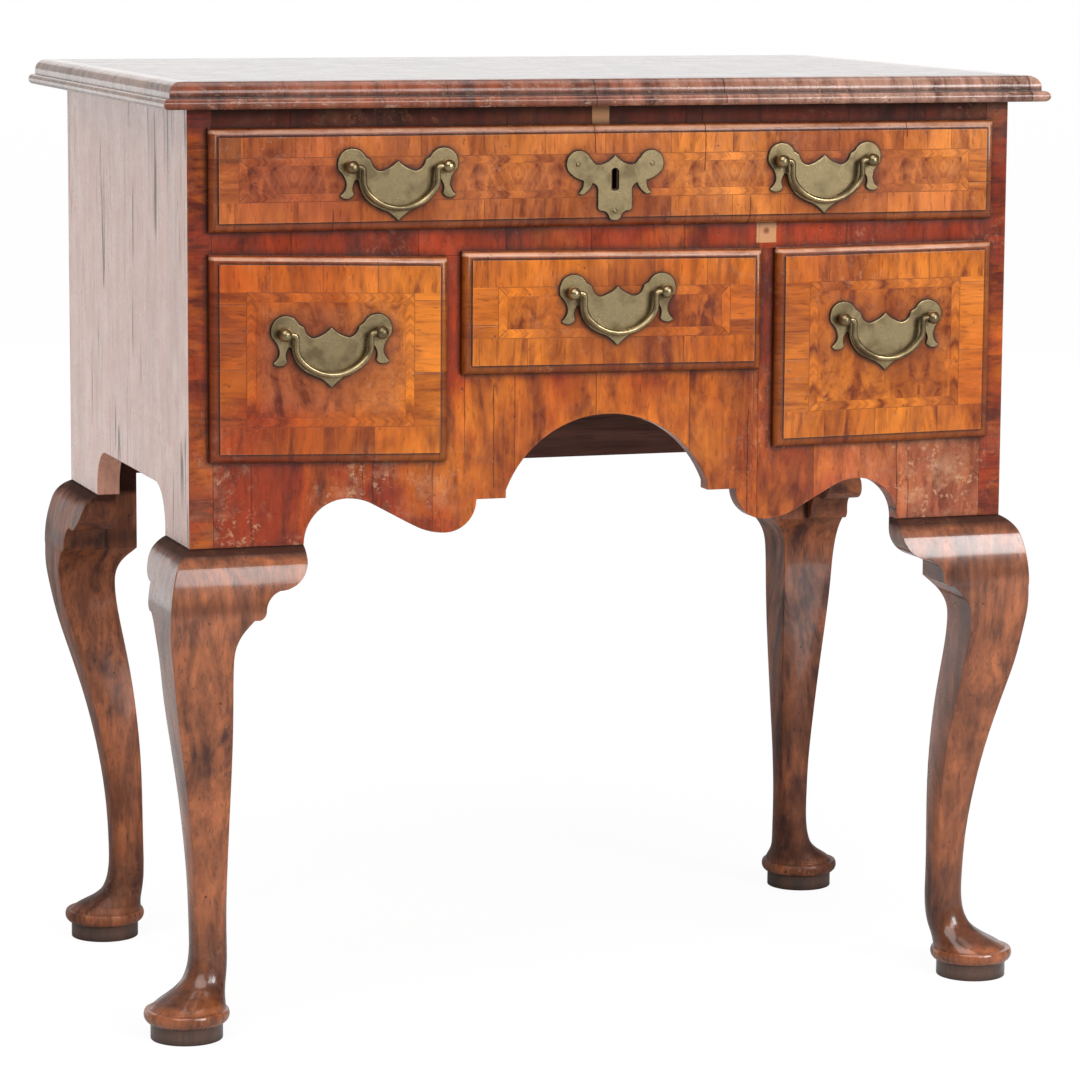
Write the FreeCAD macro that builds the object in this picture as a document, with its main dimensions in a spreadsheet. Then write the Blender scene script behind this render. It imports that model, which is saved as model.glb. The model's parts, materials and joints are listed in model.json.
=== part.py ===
import FreeCAD, Part
import math
import os
import re
from FreeCAD import Placement, Rotation, Vector

# A walnut lowboy: a small dressing table with one long drawer over three, on four cabriole legs.
# Millimetres, +Z up. The origin is on the floor under the middle of the top, and the front faces -Y.

SIZES = {
    # the whole
    "total_height": 710.0,
    "case_width": 643.5,
    "case_depth": 396.0,
    "case_bottom": 371.5,
    # top
    "top_thickness": 19.5,
    "side_overhang": 23.3,
    "front_overhang": 27.0,
    "back_overhang": 38.5,
    "moulding_width": 26.0,
    "bead_height": 8.0,
    "ovolo_inset": 5.5,
    "ovolo_radius": 8.5,
    # case boards
    "side_thickness": 18.0,
    "apron_thickness": 15.0,
    "back_thickness": 12.0,
    "partition_thickness": 18.5,
    "partition_centre": 123.5,
    "partition_shift": 1.7,
    "frieze_thickness": 16.5,
    "rail_thickness": 24.0,
    "rail_depth": 48.0,
    "bolt_head_room": 2.0,
    "back_board_bottom": 376.5,
    "runner_width": 16.0,
    "runner_height": 12.0,
    # heights above the case's lower edge, drawn for a case of this height and stretched with it
    "drawn_case_height": 319.0,
    "rail_top_rise": 233.5,
    "side_sill_rise": 64.5,
    "centre_sill_rise": 124.5,
    # shaped lower edges
    "arch_half_width": 80.0,
    "arch_radius": 86.0,
    "arch_rise": 89.0,
    "step_height": 28.5,
    "step_width": 23.0,
    "pendant_inner_radius": 24.0,
    "pendant_drop": 4.5,
    "wave_fullness": 0.8,
    "pendant_share": 0.543,
    "lobe_rise": 33.0,
    "side_arch_rise": 37.0,
    "side_arch_radius": 30.0,
    "front_ear_reach": 86.0,
    "side_ear_reach": 74.5,
    "back_ear_reach": 96.0,
    "ear_thickness": 15.0,
    "ear_edge": 8.5,
    "ear_round": 22.0,
    "ear_step": 9.0,
    "ear_step_height": 6.0,
    "ear_step_bend_run": 7.2,
    "ear_step_bend_rise": 2.0,
    # legs
    "leg_stock": 44.0,
    "knee_crest": 320.0,
    "knee_bulge": 18.6,
    "knee_shoulder": 13.2,
    "knee_shoulder_height": 36.4,
    "knee_inset": 6.0,
    "post_clearance": 0.5,
    "front_ankle_x": 22.0,
    "front_ankle_y": 40.5,
    "front_foot_x": 2.6,
    "front_foot_y": 28.4,
    "back_ankle_x": 30.5,
    "back_ankle_y": 53.0,
    "back_foot_x": 15.5,
    "back_foot_y": 39.2,
    "pad_radius": 32.0,
    "pad_height": 18.0,
    "pad_top": 22.5,
    "pad_lip": 1.2,
    "disc_radius": 27.0,
    "disc_height": 12.0,
    # drawers
    "side_clearance": 1.0,
    "runner_clearance": 0.3,
    "head_clearance": 1.5,
    "lip_clearance": 0.3,
    "lip_overlap": 3.5,
    "lip_overlap_above": 2.3,
    "lip_thickness": 8.0,
    "lip_round": 5.5,
    "field_inset": 6.5,
    "field_height": 1.0,
    "front_inset": 12.0,
    # how much lower a front hangs at its right end than at its left, or how much higher
    "left_front_drop": 4.8,
    "centre_front_drop": 2.6,
    "right_front_rise": 1.9,
    "drawer_side_thickness": 8.0,
    "drawer_back_thickness": 7.0,
    "drawer_bottom_thickness": 5.0,
    "bottom_lift": 4.0,
    "groove_depth": 3.0,
    "tail_lap": 2.0,
    "back_gap": 12.0,
    # brasses
    "plate_thickness": 1.6,
    "post_spacing": 72.7,
    "post_radius": 2.5,
    "post_hole_fit": 0.1,
    "post_reach": 6.2,
    "collar_thickness": 0.8,
    "collar_width": 1.6,
    "head_radius": 5.0,
    "nut_radius": 6.0,
    "nut_thickness": 3.0,
    "bail_radius": 2.1,
    "bail_half_width": 28.0,
    "bail_drop": 30.0,
    "bail_bend": 3.0,
    "bail_shoulder": 9.0,
    "bail_corner": 15.0,
    "bail_pin_end": 34.5,
    "bail_fit": 0.3,
    "pin_radius": 1.9,
    "pin_head": 1.0,
    "pin_rim": 0.3,
    "pin_slope": 0.8,
    "pin_spread": 29.0,
    "pin_drop": 35.0,
    "keyhole_width": 6.0,
    "keyhole_length": 17.0,
    "keyhole_drop": 3.0,
    "keyhole_foot": 1.0,
    "key_slot": 3.6,
    "key_slot_length": 15.0,
    "key_slot_drop": 3.5,
    # places of the brasses: heights above the middle of the drawer's opening, and offsets from the centre
    "long_handle_lift": 8.5,
    "side_handle_lift": 19.3,
    "centre_handle_lift": 14.3,
    "escutcheon_lift": 7.9,
    "long_handle_offset": 167.0,
    "centre_handle_offset": 3.0,
    # lock, drawn for a long drawer's opening of this height and stretched with it
    "drawn_long_opening": 69.0,
    "lock_width": 56.0,
    "lock_height": 38.0,
    "lock_thickness": 8.0,
    "bolt_width": 18.0,
    "bolt_thickness": 3.2,
    "bolt_length": 22.0,
    "bolt_fit": 0.3,
    "bolt_travel": 6.5,
    # how far the cuts run past the wood and metal that they are made in
    "cut_over": 1.0,
}

doc = FreeCAD.newDocument("Lowboy")
sheet = doc.addObject("Spreadsheet::Sheet", "sizes")
for row, (alias, number) in enumerate(SIZES.items(), 1):
    sheet.set(f"A{row}", alias)
    sheet.set(f"B{row}", str(number))
    sheet.setAlias(f"B{row}", alias)
doc.recompute()

nodes = []


def size(alias):
    """A driving size, read from the sheet."""
    return float(sheet.get(alias))


def bound(text):
    """An expression on the sheet's cells, from one that gives their names alone."""
    return re.sub(r"[a-z][a-z_]+", lambda word: "sizes." + word.group(), text)


probe = doc.addObject("App::FeaturePython", "probe")
probe.addProperty("App::PropertyFloat", "number")


def measure(text):
    """The number that an expression on the sheet comes to."""
    probe.setExpression("number", bound(text))
    probe.recompute()
    return probe.number


# Planes and edges that several pieces share, as expressions on the sheet.
FRONT = "((front_overhang - back_overhang - case_depth) / 2)"
BACK = "((front_overhang - back_overhang + case_depth) / 2)"
TOP_WIDTH = "(case_width + 2 * side_overhang)"
TOP_DEPTH = "(case_depth + front_overhang + back_overhang)"
CASE_TOP = "(total_height - top_thickness)"
INNER = "(case_width / 2 - side_thickness)"
STRETCH = "((" + CASE_TOP + " - case_bottom) / drawn_case_height)"
RAIL_TOP = "(case_bottom + rail_top_rise * " + STRETCH + ")"
RAIL_BOTTOM = "(" + RAIL_TOP + " - rail_thickness)"
POST_HEIGHT = "(side_sill_rise * " + STRETCH + " - runner_height - post_clearance)"
SIDE_SILL = "(case_bottom + side_sill_rise * " + STRETCH + ")"
CENTRE_SILL = "(case_bottom + centre_sill_rise * " + STRETCH + ")"
BACK_FACE = "(" + BACK + " - back_thickness)"
LEFT_OUT = "(partition_shift - partition_centre - partition_thickness / 2)"
LEFT_IN = "(partition_shift - partition_centre + partition_thickness / 2)"
RIGHT_IN = "(partition_shift + partition_centre - partition_thickness / 2)"
RIGHT_OUT = "(partition_shift + partition_centre + partition_thickness / 2)"
FRIEZE_BOTTOM = "(" + CASE_TOP + " - frieze_thickness)"
INNER_FACE = "(" + FRONT + " + front_inset)"
LOCK_STRETCH = "((" + FRIEZE_BOTTOM + " - " + RAIL_TOP + ") / drawn_long_opening)"
LOCK_HEIGHT = "(lock_height * " + LOCK_STRETCH + ")"
BOLT_LENGTH = "(bolt_length * " + LOCK_STRETCH + ")"
BOLT_FACE = "(" + INNER_FACE + " + (lock_thickness - bolt_thickness) / 2)"
FIELD_FACE = "(" + FRONT + " - lip_clearance - lip_thickness - field_height)"
LONG_HANDLE = "((" + RAIL_TOP + " + " + FRIEZE_BOTTOM + ") / 2 + long_handle_lift)"
SIDE_HANDLE = "((" + SIDE_SILL + " + " + RAIL_BOTTOM + ") / 2 + side_handle_lift)"
CENTRE_HANDLE = "((" + CENTRE_SILL + " + " + RAIL_BOTTOM + ") / 2 + centre_handle_lift)"
ESCUTCHEON = "((" + RAIL_TOP + " + " + FRIEZE_BOTTOM + ") / 2 + escutcheon_lift)"

front = measure(FRONT)
back = measure(BACK)
back_face = measure(BACK_FACE)
half_case = size("case_width") / 2
inner = measure(INNER)
case_top = measure(CASE_TOP)
case_bottom = size("case_bottom")
rail_bottom = measure(RAIL_BOTTOM)
side_sill = measure(SIDE_SILL)
field_face = measure(FIELD_FACE)
over = size("cut_over")


class Outline:
    """A closed outline of lines and arcs, drawn from point to point in a sketch's two directions."""

    def __init__(self, x, y):
        self.here = Vector(x, y, 0)
        self.start = self.here
        self.edges = []

    def line(self, x, y):
        target = Vector(x, y, 0)
        if target.distanceToPoint(self.here) > 1e-6:
            self.edges.append(Part.LineSegment(self.here, target))
            self.here = target
        return self

    def arc(self, through, to):
        target = Vector(to[0], to[1], 0)
        self.edges.append(Part.Arc(self.here, Vector(through[0], through[1], 0), target))
        self.here = target
        return self

    def turn(self, centre, to):
        """The shorter arc about a centre."""
        middle = Vector(centre[0], centre[1], 0)
        target = Vector(to[0], to[1], 0)
        bisector = (self.here - middle) + (target - middle)
        bisector.normalize()
        through = middle + bisector * (target - middle).Length
        return self.arc((through.x, through.y), to)

    def onward(self, to):
        """An arc that leaves along the last edge's direction."""
        last = self.edges[-1]
        heading = last.tangent(last.LastParameter)[0]
        chord = Vector(to[0], to[1], 0) - self.here
        aside = chord - heading * chord.dot(heading)
        aside.normalize()
        middle = self.here + aside * (chord.dot(chord) / (2 * chord.dot(aside)))
        return self.turn((middle.x, middle.y), to)

    def close(self):
        self.line(self.start.x, self.start.y)
        return self.edges


def rectangle(x0, y0, x1, y1):
    return Outline(x0, y0).line(x1, y0).line(x1, y1).line(x0, y1).close()


def circle(x, y, radius):
    return [Part.Circle(Vector(x, y, 0), Vector(0, 0, 1), radius)]


def board(label, corner, extents):
    """A plain rectangular piece between planes given as expressions."""
    box = doc.addObject("Part::Box", label)
    for name, text in zip(("Length", "Width", "Height"), extents):
        box.setExpression(name, bound(text))
    for axis, text in zip("xyz", corner):
        box.setExpression("Placement.Base." + axis, bound(text))
    return box


def new_body(label):
    body = doc.addObject("PartDesign::Body", label)
    body.Label = label
    return body


def sketch_on(body, role, edges, offset=0.0):
    """A sketch on one of the body's origin planes, moved along its normal by the offset."""
    sketch = body.newObject("Sketcher::SketchObject", body.Name + "_sketch")
    plane = [feature for feature in body.Origin.OriginFeatures if feature.Role == role][0]
    sketch.AttachmentSupport = [(plane, "")]
    sketch.MapMode = "FlatFace"
    sketch.AttachmentOffset = Placement(Vector(0, 0, offset), Rotation())
    sketch.addGeometry(edges, False)
    return sketch


def pad(body, role, edges, length, offset=0.0, backwards=False):
    feature = body.newObject("PartDesign::Pad", body.Name + "_pad")
    feature.Profile = sketch_on(body, role, edges, offset)
    feature.setExpression("Length", bound(length))
    feature.Reversed = backwards
    return feature


def pocket(body, role, edges, length, offset=0.0, backwards=False):
    """A cut from the sketch against its normal, or along it when backwards; it has to take material."""
    doc.recompute()
    before = body.Shape.Volume
    feature = body.newObject("PartDesign::Pocket", body.Name + "_pocket")
    feature.Profile = sketch_on(body, role, edges, offset)
    feature.setExpression("Length", bound(length))
    feature.Reversed = backwards
    doc.recompute()
    if body.Shape.Volume > before - 1e-3:
        raise RuntimeError("a pocket in " + body.Label + " cuts nothing")
    return feature


def moved(body, axis, text):
    """Binds a body's place along one axis to an expression."""
    body.setExpression("Placement.Base." + axis, bound(text))
    return body


def node(piece, label=None):
    """Marks a piece as one of the object's nodes."""
    if label:
        piece.Label = label
    nodes.append(piece)
    return piece


def together(label, pieces):
    """Like fittings that share one node, each still a solid of its own."""
    group = doc.addObject("Part::Compound", label)
    group.Links = pieces
    return node(group)


def cut(label, base, tools):
    """A base piece less the pieces that are let into it."""
    tool = tools[0]
    if len(tools) > 1:
        tool = doc.addObject("Part::Compound", label + "_tools")
        tool.Links = tools
    result = doc.addObject("Part::Cut", label)
    result.Base = base
    result.Tool = tool
    return result


# ---------------------------------------------------------------- top

def moulding_outline(direction, edge):
    """The edge moulding's section: a bead below, a quirk, and an ovolo up to the top's face.

    direction is +1 where the wood lies on the sketch's positive side of the edge, else -1.
    """
    width = size("moulding_width")
    base = case_top
    bead = size("bead_height")
    inset = size("ovolo_inset")
    radius = size("ovolo_radius")
    top = size("total_height")

    def at(inward, height):
        return edge + direction * inward, height

    outline = Outline(*at(width, base))
    outline.line(*at(bead / 2, base))
    outline.arc(at(0, base + bead / 2), at(bead / 2, base + bead))
    outline.line(*at(inset, base + bead))
    outline.line(*at(inset, top - radius))
    outline.turn(at(inset + radius, top - radius), at(inset + radius, top))
    outline.line(*at(width, top))
    return outline.close()


def top_pieces():
    half_width = measure(TOP_WIDTH) / 2
    half_depth = measure(TOP_DEPTH) / 2
    width = size("moulding_width")
    above = size("total_height") + over
    node(board("top_board",
               ("-" + TOP_WIDTH + "/2 + moulding_width", "-" + TOP_DEPTH + "/2 + moulding_width", CASE_TOP),
               (TOP_WIDTH + " - 2 * moulding_width", TOP_DEPTH + " - moulding_width", "top_thickness")))

    strip = new_body("moulding_front")
    pad(strip, "YZ_Plane", moulding_outline(1, -half_depth), TOP_WIDTH)
    moved(strip, "x", "-" + TOP_WIDTH + "/2")
    for start, slope in ((0, 1), (2 * half_width, -1)):
        waste = Outline(start, -half_depth).line(start, -half_depth + width)
        waste.line(start + slope * width, -half_depth + width)
        pocket(strip, "XY_Plane", waste.close(), "2 * top_thickness", above)
    node(strip)

    for name, side in (("left", -1), ("right", 1)):
        strip = new_body("moulding_" + name)
        outline = moulding_outline(-side, side * half_width)
        pad(strip, "XZ_Plane", outline, TOP_DEPTH)
        moved(strip, "y", TOP_DEPTH + "/2")
        front_end = -2 * half_depth
        waste = Outline(side * half_width, front_end).line(side * (half_width - width), front_end)
        waste.line(side * (half_width - width), front_end + width)
        pocket(strip, "XY_Plane", waste.close(), "2 * top_thickness", above)
        node(strip)


# ---------------------------------------------------------------- case

def apron_half(side):
    """Points and arcs of one half of the apron's lower edge, outward from the middle of the arch."""
    half = size("arch_half_width")
    radius = size("arch_radius")
    crown = case_bottom + size("arch_rise")
    spring = crown - radius + math.sqrt(radius ** 2 - half ** 2)
    step = case_bottom + size("step_height")
    step_end = half + size("step_width")
    small = size("pendant_inner_radius")
    low = case_bottom + size("pendant_drop")
    pendant_x = step_end + small
    lobe_top = case_bottom + size("lobe_rise")
    reach = half_case - size("front_ear_reach")
    lobe_x = reach - size("lobe_rise")
    # the pendant's arc and the lobe's share the largest radii with which the two could still meet
    across = lobe_x - pendant_x
    climb = lobe_top - low
    radii = size("wave_fullness") * (across ** 2 + climb ** 2) / (2 * climb)
    pendant = size("pendant_share") * radii
    lobe = radii - pendant
    # the straight stretch that is tangent to both
    rise = climb - radii
    span = math.hypot(across, rise)
    lean = math.asin((pendant + lobe) / span) - math.atan2(-rise, across)
    away = (math.sin(lean), -math.cos(lean))
    tangent_low = (pendant_x + pendant * away[0], low + pendant + pendant * away[1])
    tangent_high = (lobe_x - lobe * away[0], lobe_top - lobe - lobe * away[1])

    def at(point):
        return side * point[0], point[1]

    return {
        "spring": at((half, spring)),
        "arch_centre": (0, crown - radius),
        "step": at((half, step)),
        "step_end": at((step_end, step)),
        "pendant_side": at((step_end, low + small)),
        "small_centre": at((pendant_x, low + small)),
        "pendant": at((pendant_x, low)),
        "pendant_centre": at((pendant_x, low + pendant)),
        "tangent_low": at(tangent_low),
        "tangent_high": at(tangent_high),
        "lobe_centre": at((lobe_x, lobe_top - lobe)),
        "lobe": at((lobe_x, lobe_top)),
        "outer_centre": at((lobe_x, case_bottom)),
        "ear": at((reach, case_bottom)),
        "crown": (0, crown),
    }


def apron():
    bridge = measure(CENTRE_SILL)
    left_wall = measure(LEFT_IN)
    right_wall = measure(RIGHT_IN)
    right = apron_half(1)
    left = apron_half(-1)
    outline = Outline(-inner, case_bottom)
    outline.line(*left["ear"])
    outline.turn(left["outer_centre"], left["lobe"])
    outline.turn(left["lobe_centre"], left["tangent_high"])
    outline.line(*left["tangent_low"])
    outline.turn(left["pendant_centre"], left["pendant"])
    outline.turn(left["small_centre"], left["pendant_side"])
    outline.line(*left["step_end"])
    outline.line(*left["step"])
    outline.line(*left["spring"])
    outline.arc(right["crown"], right["spring"])
    outline.line(*right["step"])
    outline.line(*right["step_end"])
    outline.line(*right["pendant_side"])
    outline.turn(right["small_centre"], right["pendant"])
    outline.turn(right["pendant_centre"], right["tangent_low"])
    outline.line(*right["tangent_high"])
    outline.turn(right["lobe_centre"], right["lobe"])
    outline.turn(right["outer_centre"], right["ear"])
    outline.line(inner, case_bottom)
    outline.line(inner, side_sill)
    outline.line(right_wall, side_sill)
    outline.line(right_wall, bridge)
    outline.line(left_wall, bridge)
    outline.line(left_wall, side_sill)
    outline.line(-inner, side_sill)
    body = new_body("front_apron")
    pad(body, "XZ_Plane", outline.close(), "apron_thickness")
    moved(body, "y", FRONT + " + apron_thickness")
    node(body)


def side_panel(name, corner):
    """A side of the case, with an arch between the ears cut in its lower edge."""
    rise = case_bottom + size("side_arch_rise")
    radius = size("side_arch_radius")
    near = front + size("side_ear_reach")
    far = back - size("back_ear_reach")
    outline = Outline(front, case_bottom)
    outline.line(near, case_bottom)
    outline.line(near, rise - radius)
    outline.turn((near + radius, rise - radius), (near + radius, rise))
    outline.line(far - radius, rise)
    outline.turn((far - radius, rise - radius), (far, rise - radius))
    outline.line(far, case_bottom)
    outline.line(back, case_bottom)
    outline.line(back, case_top)
    outline.line(front, case_top)
    body = new_body("side_" + name)
    pad(body, "YZ_Plane", outline.close(), "side_thickness")
    moved(body, "x", corner)
    node(body)


def partition(name, corner):
    """An upright board between two lower drawers, notched over the apron and the rail behind its face."""
    low = side_sill - size("runner_height")
    notch = front + size("apron_thickness")
    outline = Outline(front, side_sill)
    outline.line(notch, side_sill)
    outline.line(notch, low)
    outline.line(back_face, low)
    outline.line(back_face, rail_bottom)
    outline.line(front, rail_bottom)
    body = new_body("partition_" + name)
    pad(body, "YZ_Plane", outline.close(), "partition_thickness")
    moved(body, "x", corner)
    node(body)


def case_pieces():
    side_panel("left", "-case_width / 2")
    side_panel("right", INNER)
    node(board("back_board", ("-" + INNER, BACK_FACE, "back_board_bottom"),
               ("2 * " + INNER, "back_thickness", CASE_TOP + " - back_board_bottom")))
    apron()
    rail = board("frieze_rail_blank", ("-" + INNER, FRONT, FRIEZE_BOTTOM),
                 ("2 * " + INNER, "rail_depth", "frieze_thickness"))
    mortise = board("bolt_mortise",
                    ("-bolt_width / 2 - bolt_fit", BOLT_FACE + " - bolt_fit",
                     FRIEZE_BOTTOM),
                    ("bolt_width + 2 * bolt_fit", "bolt_thickness + 2 * bolt_fit",
                     "bolt_travel + bolt_head_room"))
    node(cut("frieze_rail", rail, [mortise]))
    node(board("middle_rail", ("-" + INNER, FRONT, RAIL_BOTTOM),
               ("2 * " + INNER, "rail_depth", "rail_thickness")))
    partition("left", LEFT_OUT)
    partition("right", RIGHT_IN)


def runner(name, left_edge, top, start):
    """A drawer runner, from a y-plane back to the back board."""
    return board(name, (left_edge, start, top + " - runner_height"),
                 ("runner_width", BACK_FACE + " - " + start, "runner_height"))


def runners():
    behind_rail = "(" + FRONT + " + rail_depth)"
    behind_apron = "(" + FRONT + " + apron_thickness)"
    together("long_drawer_runners", [
        runner("long_runner_left", "-" + INNER, RAIL_TOP, behind_rail),
        runner("long_runner_right", INNER + " - runner_width", RAIL_TOP, behind_rail),
    ])
    together("side_drawer_runners", [
        runner("outer_runner_left", "-" + INNER, SIDE_SILL, behind_apron),
        runner("inner_runner_left", LEFT_OUT + " - runner_width", SIDE_SILL, behind_apron),
        runner("inner_runner_right", RIGHT_OUT, SIDE_SILL, behind_apron),
        runner("outer_runner_right", INNER + " - runner_width", SIDE_SILL, behind_apron),
    ])
    together("centre_drawer_runners", [
        runner("centre_runner_left", LEFT_IN, CENTRE_SILL, behind_apron),
        runner("centre_runner_right", RIGHT_IN + " - runner_width", CENTRE_SILL, behind_apron),
    ])


# ---------------------------------------------------------------- cabriole legs

# Height, half the section's width, how far its middle has swept from knee to ankle and on to the toe,
# and how round it is: 0 is square with sharp arrises, 1 is a circle.
ANKLE_STATIONS = (
    (19.5, 29.2, 1.00, 1.00, 0.98),
    (24.5, 27.4, 1.00, 0.89, 0.96),
    (29.5, 23.4, 1.00, 0.67, 0.94),
    (34.5, 19.4, 1.00, 0.42, 0.92),
    (40.5, 16.6, 1.00, 0.21, 0.90),
    (48.0, 15.2, 1.00, 0.08, 0.88),
    (60.0, 14.3, 1.00, 0.00, 0.86),
    (80.0, 14.0, 1.00, 0.00, 0.82),
    (110.0, 14.5, 0.97, 0.00, 0.70),
    (150.0, 16.3, 0.87, 0.00, 0.50),
    (190.0, 18.4, 0.68, 0.00, 0.32),
    (230.0, 20.8, 0.40, 0.00, 0.20),
    (262.0, 22.2, 0.15, 0.00, 0.12),
    (286.0, 22.9, 0.02, 0.00, 0.06),
)
# Height above the last of those, share of the knee's bulge, and how far the back of the leg has come
# out towards the face of its squared stock.
CALF_STATIONS = ((300.0, 0.965, 0.08), (311.0, 0.99, 0.45))
SQUARE_TO_ROUND = 1 - math.sqrt(0.5)


def leg_section(x0, x1, y0, y1, roundness):
    """A leg's section: four sides that go from straight at the knee to quarter circles at the ankle."""
    cut_x = (x1 - x0) / 2 * SQUARE_TO_ROUND * roundness
    cut_y = (y1 - y0) / 2 * SQUARE_TO_ROUND * roundness
    middle = ((x0 + x1) / 2, (y0 + y1) / 2)
    corners = ((x0 + cut_x, y0 + cut_y), (x1 - cut_x, y0 + cut_y),
               (x1 - cut_x, y1 - cut_y), (x0 + cut_x, y1 - cut_y))
    crowns = ((middle[0], y0), (x1, middle[1]), (middle[0], y1), (x0, middle[1]))
    outline = Outline(*corners[0])
    for crown, corner in zip(crowns, corners[1:] + corners[:1]):
        if roundness:
            outline.arc(crown, corner)
        else:
            outline.line(*corner)
    return outline.edges


def knee_curve(outline, face, outwards):
    """The knee's outer line, from its fullest point up to the case's face."""
    bulge = size("knee_bulge")
    shoulder = size("knee_shoulder")
    rise = size("knee_shoulder_height")
    crest = size("knee_crest")
    slack = bulge - shoulder
    radius = (rise ** 2 + slack ** 2) / (2 * slack)
    outline.turn((face + outwards * (bulge - radius), crest), (face + outwards * shoulder, crest + rise))
    return outline.onward((face, case_bottom))


def leg(name, side, end, side_wall, end_wall):
    """A cabriole leg under one corner of the case.

    side and end are the corner's signs along X and Y; the walls are the thicknesses of the two boards
    that its post stands behind.
    """
    row = "front" if end < 0 else "back"
    corner_x = side * half_case
    corner_y = front if end < 0 else back
    stock = size("leg_stock")
    bulge = size("knee_bulge")
    crest = size("knee_crest")
    knee = size("knee_inset")
    ankle = (size(row + "_ankle_x"), size(row + "_ankle_y"))
    foot = (size(row + "_foot_x"), size(row + "_foot_y"))

    def section(height, outwards, inwards, roundness):
        xs = sorted((corner_x - side * inwards[0], corner_x + side * outwards[0]))
        ys = sorted((corner_y - end * inwards[1], corner_y + end * outwards[1]))
        return sketch_on(body, "XY_Plane", leg_section(*xs, *ys, roundness), height)

    body = new_body("leg_" + name)
    sections = []
    for height, half, sweep, toe, roundness in ANKLE_STATIONS:
        middle = [knee + (ankle[i] - knee) * sweep - (ankle[i] - foot[i]) * toe for i in (0, 1)]
        outwards = [half - middle[i] for i in (0, 1)]
        inwards = [half + middle[i] for i in (0, 1)]
        sections.append(section(height, outwards, inwards, roundness))
    calf = ANKLE_STATIONS[-1][1] + knee
    for height, share, spread in CALF_STATIONS:
        inwards = calf + (stock - calf) * spread
        sections.append(section(height, [bulge * share] * 2, [inwards] * 2, 0))
    sections.append(section(crest, [bulge] * 2, [stock] * 2, 0))
    calf_loft = body.newObject("PartDesign::AdditiveLoft", body.Name + "_calf")
    calf_loft.Profile = sections[0]
    calf_loft.Sections = sections[1:]

    # the knee: its curve run through along Y, then cut to the same curve along X
    block = Outline(corner_x - side * stock, crest).line(corner_x + side * bulge, crest)
    knee_curve(block, corner_x, side).line(corner_x - side * stock, case_bottom)
    far_y = max(corner_y - end * stock, corner_y + end * bulge)
    pad(body, "XZ_Plane", block.close(), "leg_stock + knee_bulge", -far_y)
    waste = Outline(corner_y + end * (bulge + over), crest).line(corner_y + end * bulge, crest)
    knee_curve(waste, corner_y, end).line(corner_y + end * (bulge + over), case_bottom)
    far_x = max(corner_x - side * stock, corner_x + side * bulge) + over
    pocket(body, "YZ_Plane", waste.close(), "leg_stock + knee_bulge + 2 * cut_over", far_x)

    foot_x = corner_x - side * foot[0]
    foot_y = corner_y - end * foot[1]
    rim = size("pad_radius")
    outline = Outline(0, 0).line(size("disc_radius"), 0).line(size("disc_radius"), size("disc_height"))
    outline.arc((rim, size("pad_height")), (rim - size("pad_lip"), size("pad_top")))
    outline.line(0, size("pad_top"))
    sketch = sketch_on(body, "XZ_Plane", outline.close(), -foot_y)
    sketch.AttachmentOffset = Placement(Vector(foot_x, 0, -foot_y), Rotation())
    turned = body.newObject("PartDesign::Revolution", body.Name + "_pad")
    turned.Profile = sketch
    turned.ReferenceAxis = (sketch, ["V_Axis"])

    post = rectangle(corner_x - side * side_wall, corner_y - end * end_wall,
                     corner_x - side * stock, corner_y - end * stock)
    pad(body, "XY_Plane", post, POST_HEIGHT, case_bottom)
    node(body)


def legs():
    side_wall = size("side_thickness")
    for name, side, end in (("front_left", -1, -1), ("front_right", 1, -1),
                            ("back_left", -1, 1), ("back_right", 1, 1)):
        end_wall = size("apron_thickness") if end < 0 else size("back_thickness")
        leg(name, side, end, side_wall, end_wall)


def ear(name, across, face, outwards, start, inwards, reach):
    """A knee ear beside a leg: its front follows the knee's bulge and its lower edge is shaped.

    across is true for an ear on the front of the case, which runs along X; the others run along Y.
    face is the case's face that it lines up with and outwards that face's direction; start is the
    case's corner along the run and inwards the direction from there.
    """
    stock = size("leg_stock")
    bulge = size("knee_bulge")
    crest = size("knee_crest")
    thickness = size("ear_thickness")
    body = new_body(name)

    section = Outline(face - outwards * thickness, crest).line(face + outwards * bulge, crest)
    knee_curve(section, face, outwards).line(face - outwards * thickness, case_bottom)
    ends = sorted((start + inwards * stock, start + inwards * size(reach)))
    run = reach + " - leg_stock"
    if across:
        pad(body, "YZ_Plane", section.close(), run, ends[0])
    else:
        pad(body, "XZ_Plane", section.close(), run, -ends[1])

    edge = size("ear_edge")
    turn_x = size(reach) - size("ear_round")
    low = case_bottom - edge - size("ear_round")
    step = stock + size("ear_step")
    step_top = crest + size("ear_step_height")
    cove = ((turn_x - step) ** 2 + (low - step_top) ** 2) / (2 * (turn_x - step))

    def at(distance, height):
        return start + inwards * distance, height

    waste = Outline(*at(stock, crest - over))
    waste.line(*at(stock, crest))
    bend = at(stock + size("ear_step_bend_run"), crest + size("ear_step_bend_rise"))
    waste.arc(bend, at(step, step_top))
    waste.turn(at(step + cove, step_top), at(turn_x, low))
    waste.turn(at(turn_x, case_bottom - edge), at(size(reach), case_bottom - edge))
    waste.line(*at(size(reach) + over, case_bottom - edge))
    waste.line(*at(size(reach) + over, crest - over))
    sides = sorted((face - outwards * (thickness + over), face + outwards * (bulge + over)))
    deep = "ear_thickness + knee_bulge + 2 * cut_over"
    if across:
        pocket(body, "XZ_Plane", waste.close(), deep, -sides[0])
    else:
        pocket(body, "YZ_Plane", waste.close(), deep, sides[1])
    return body


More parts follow.
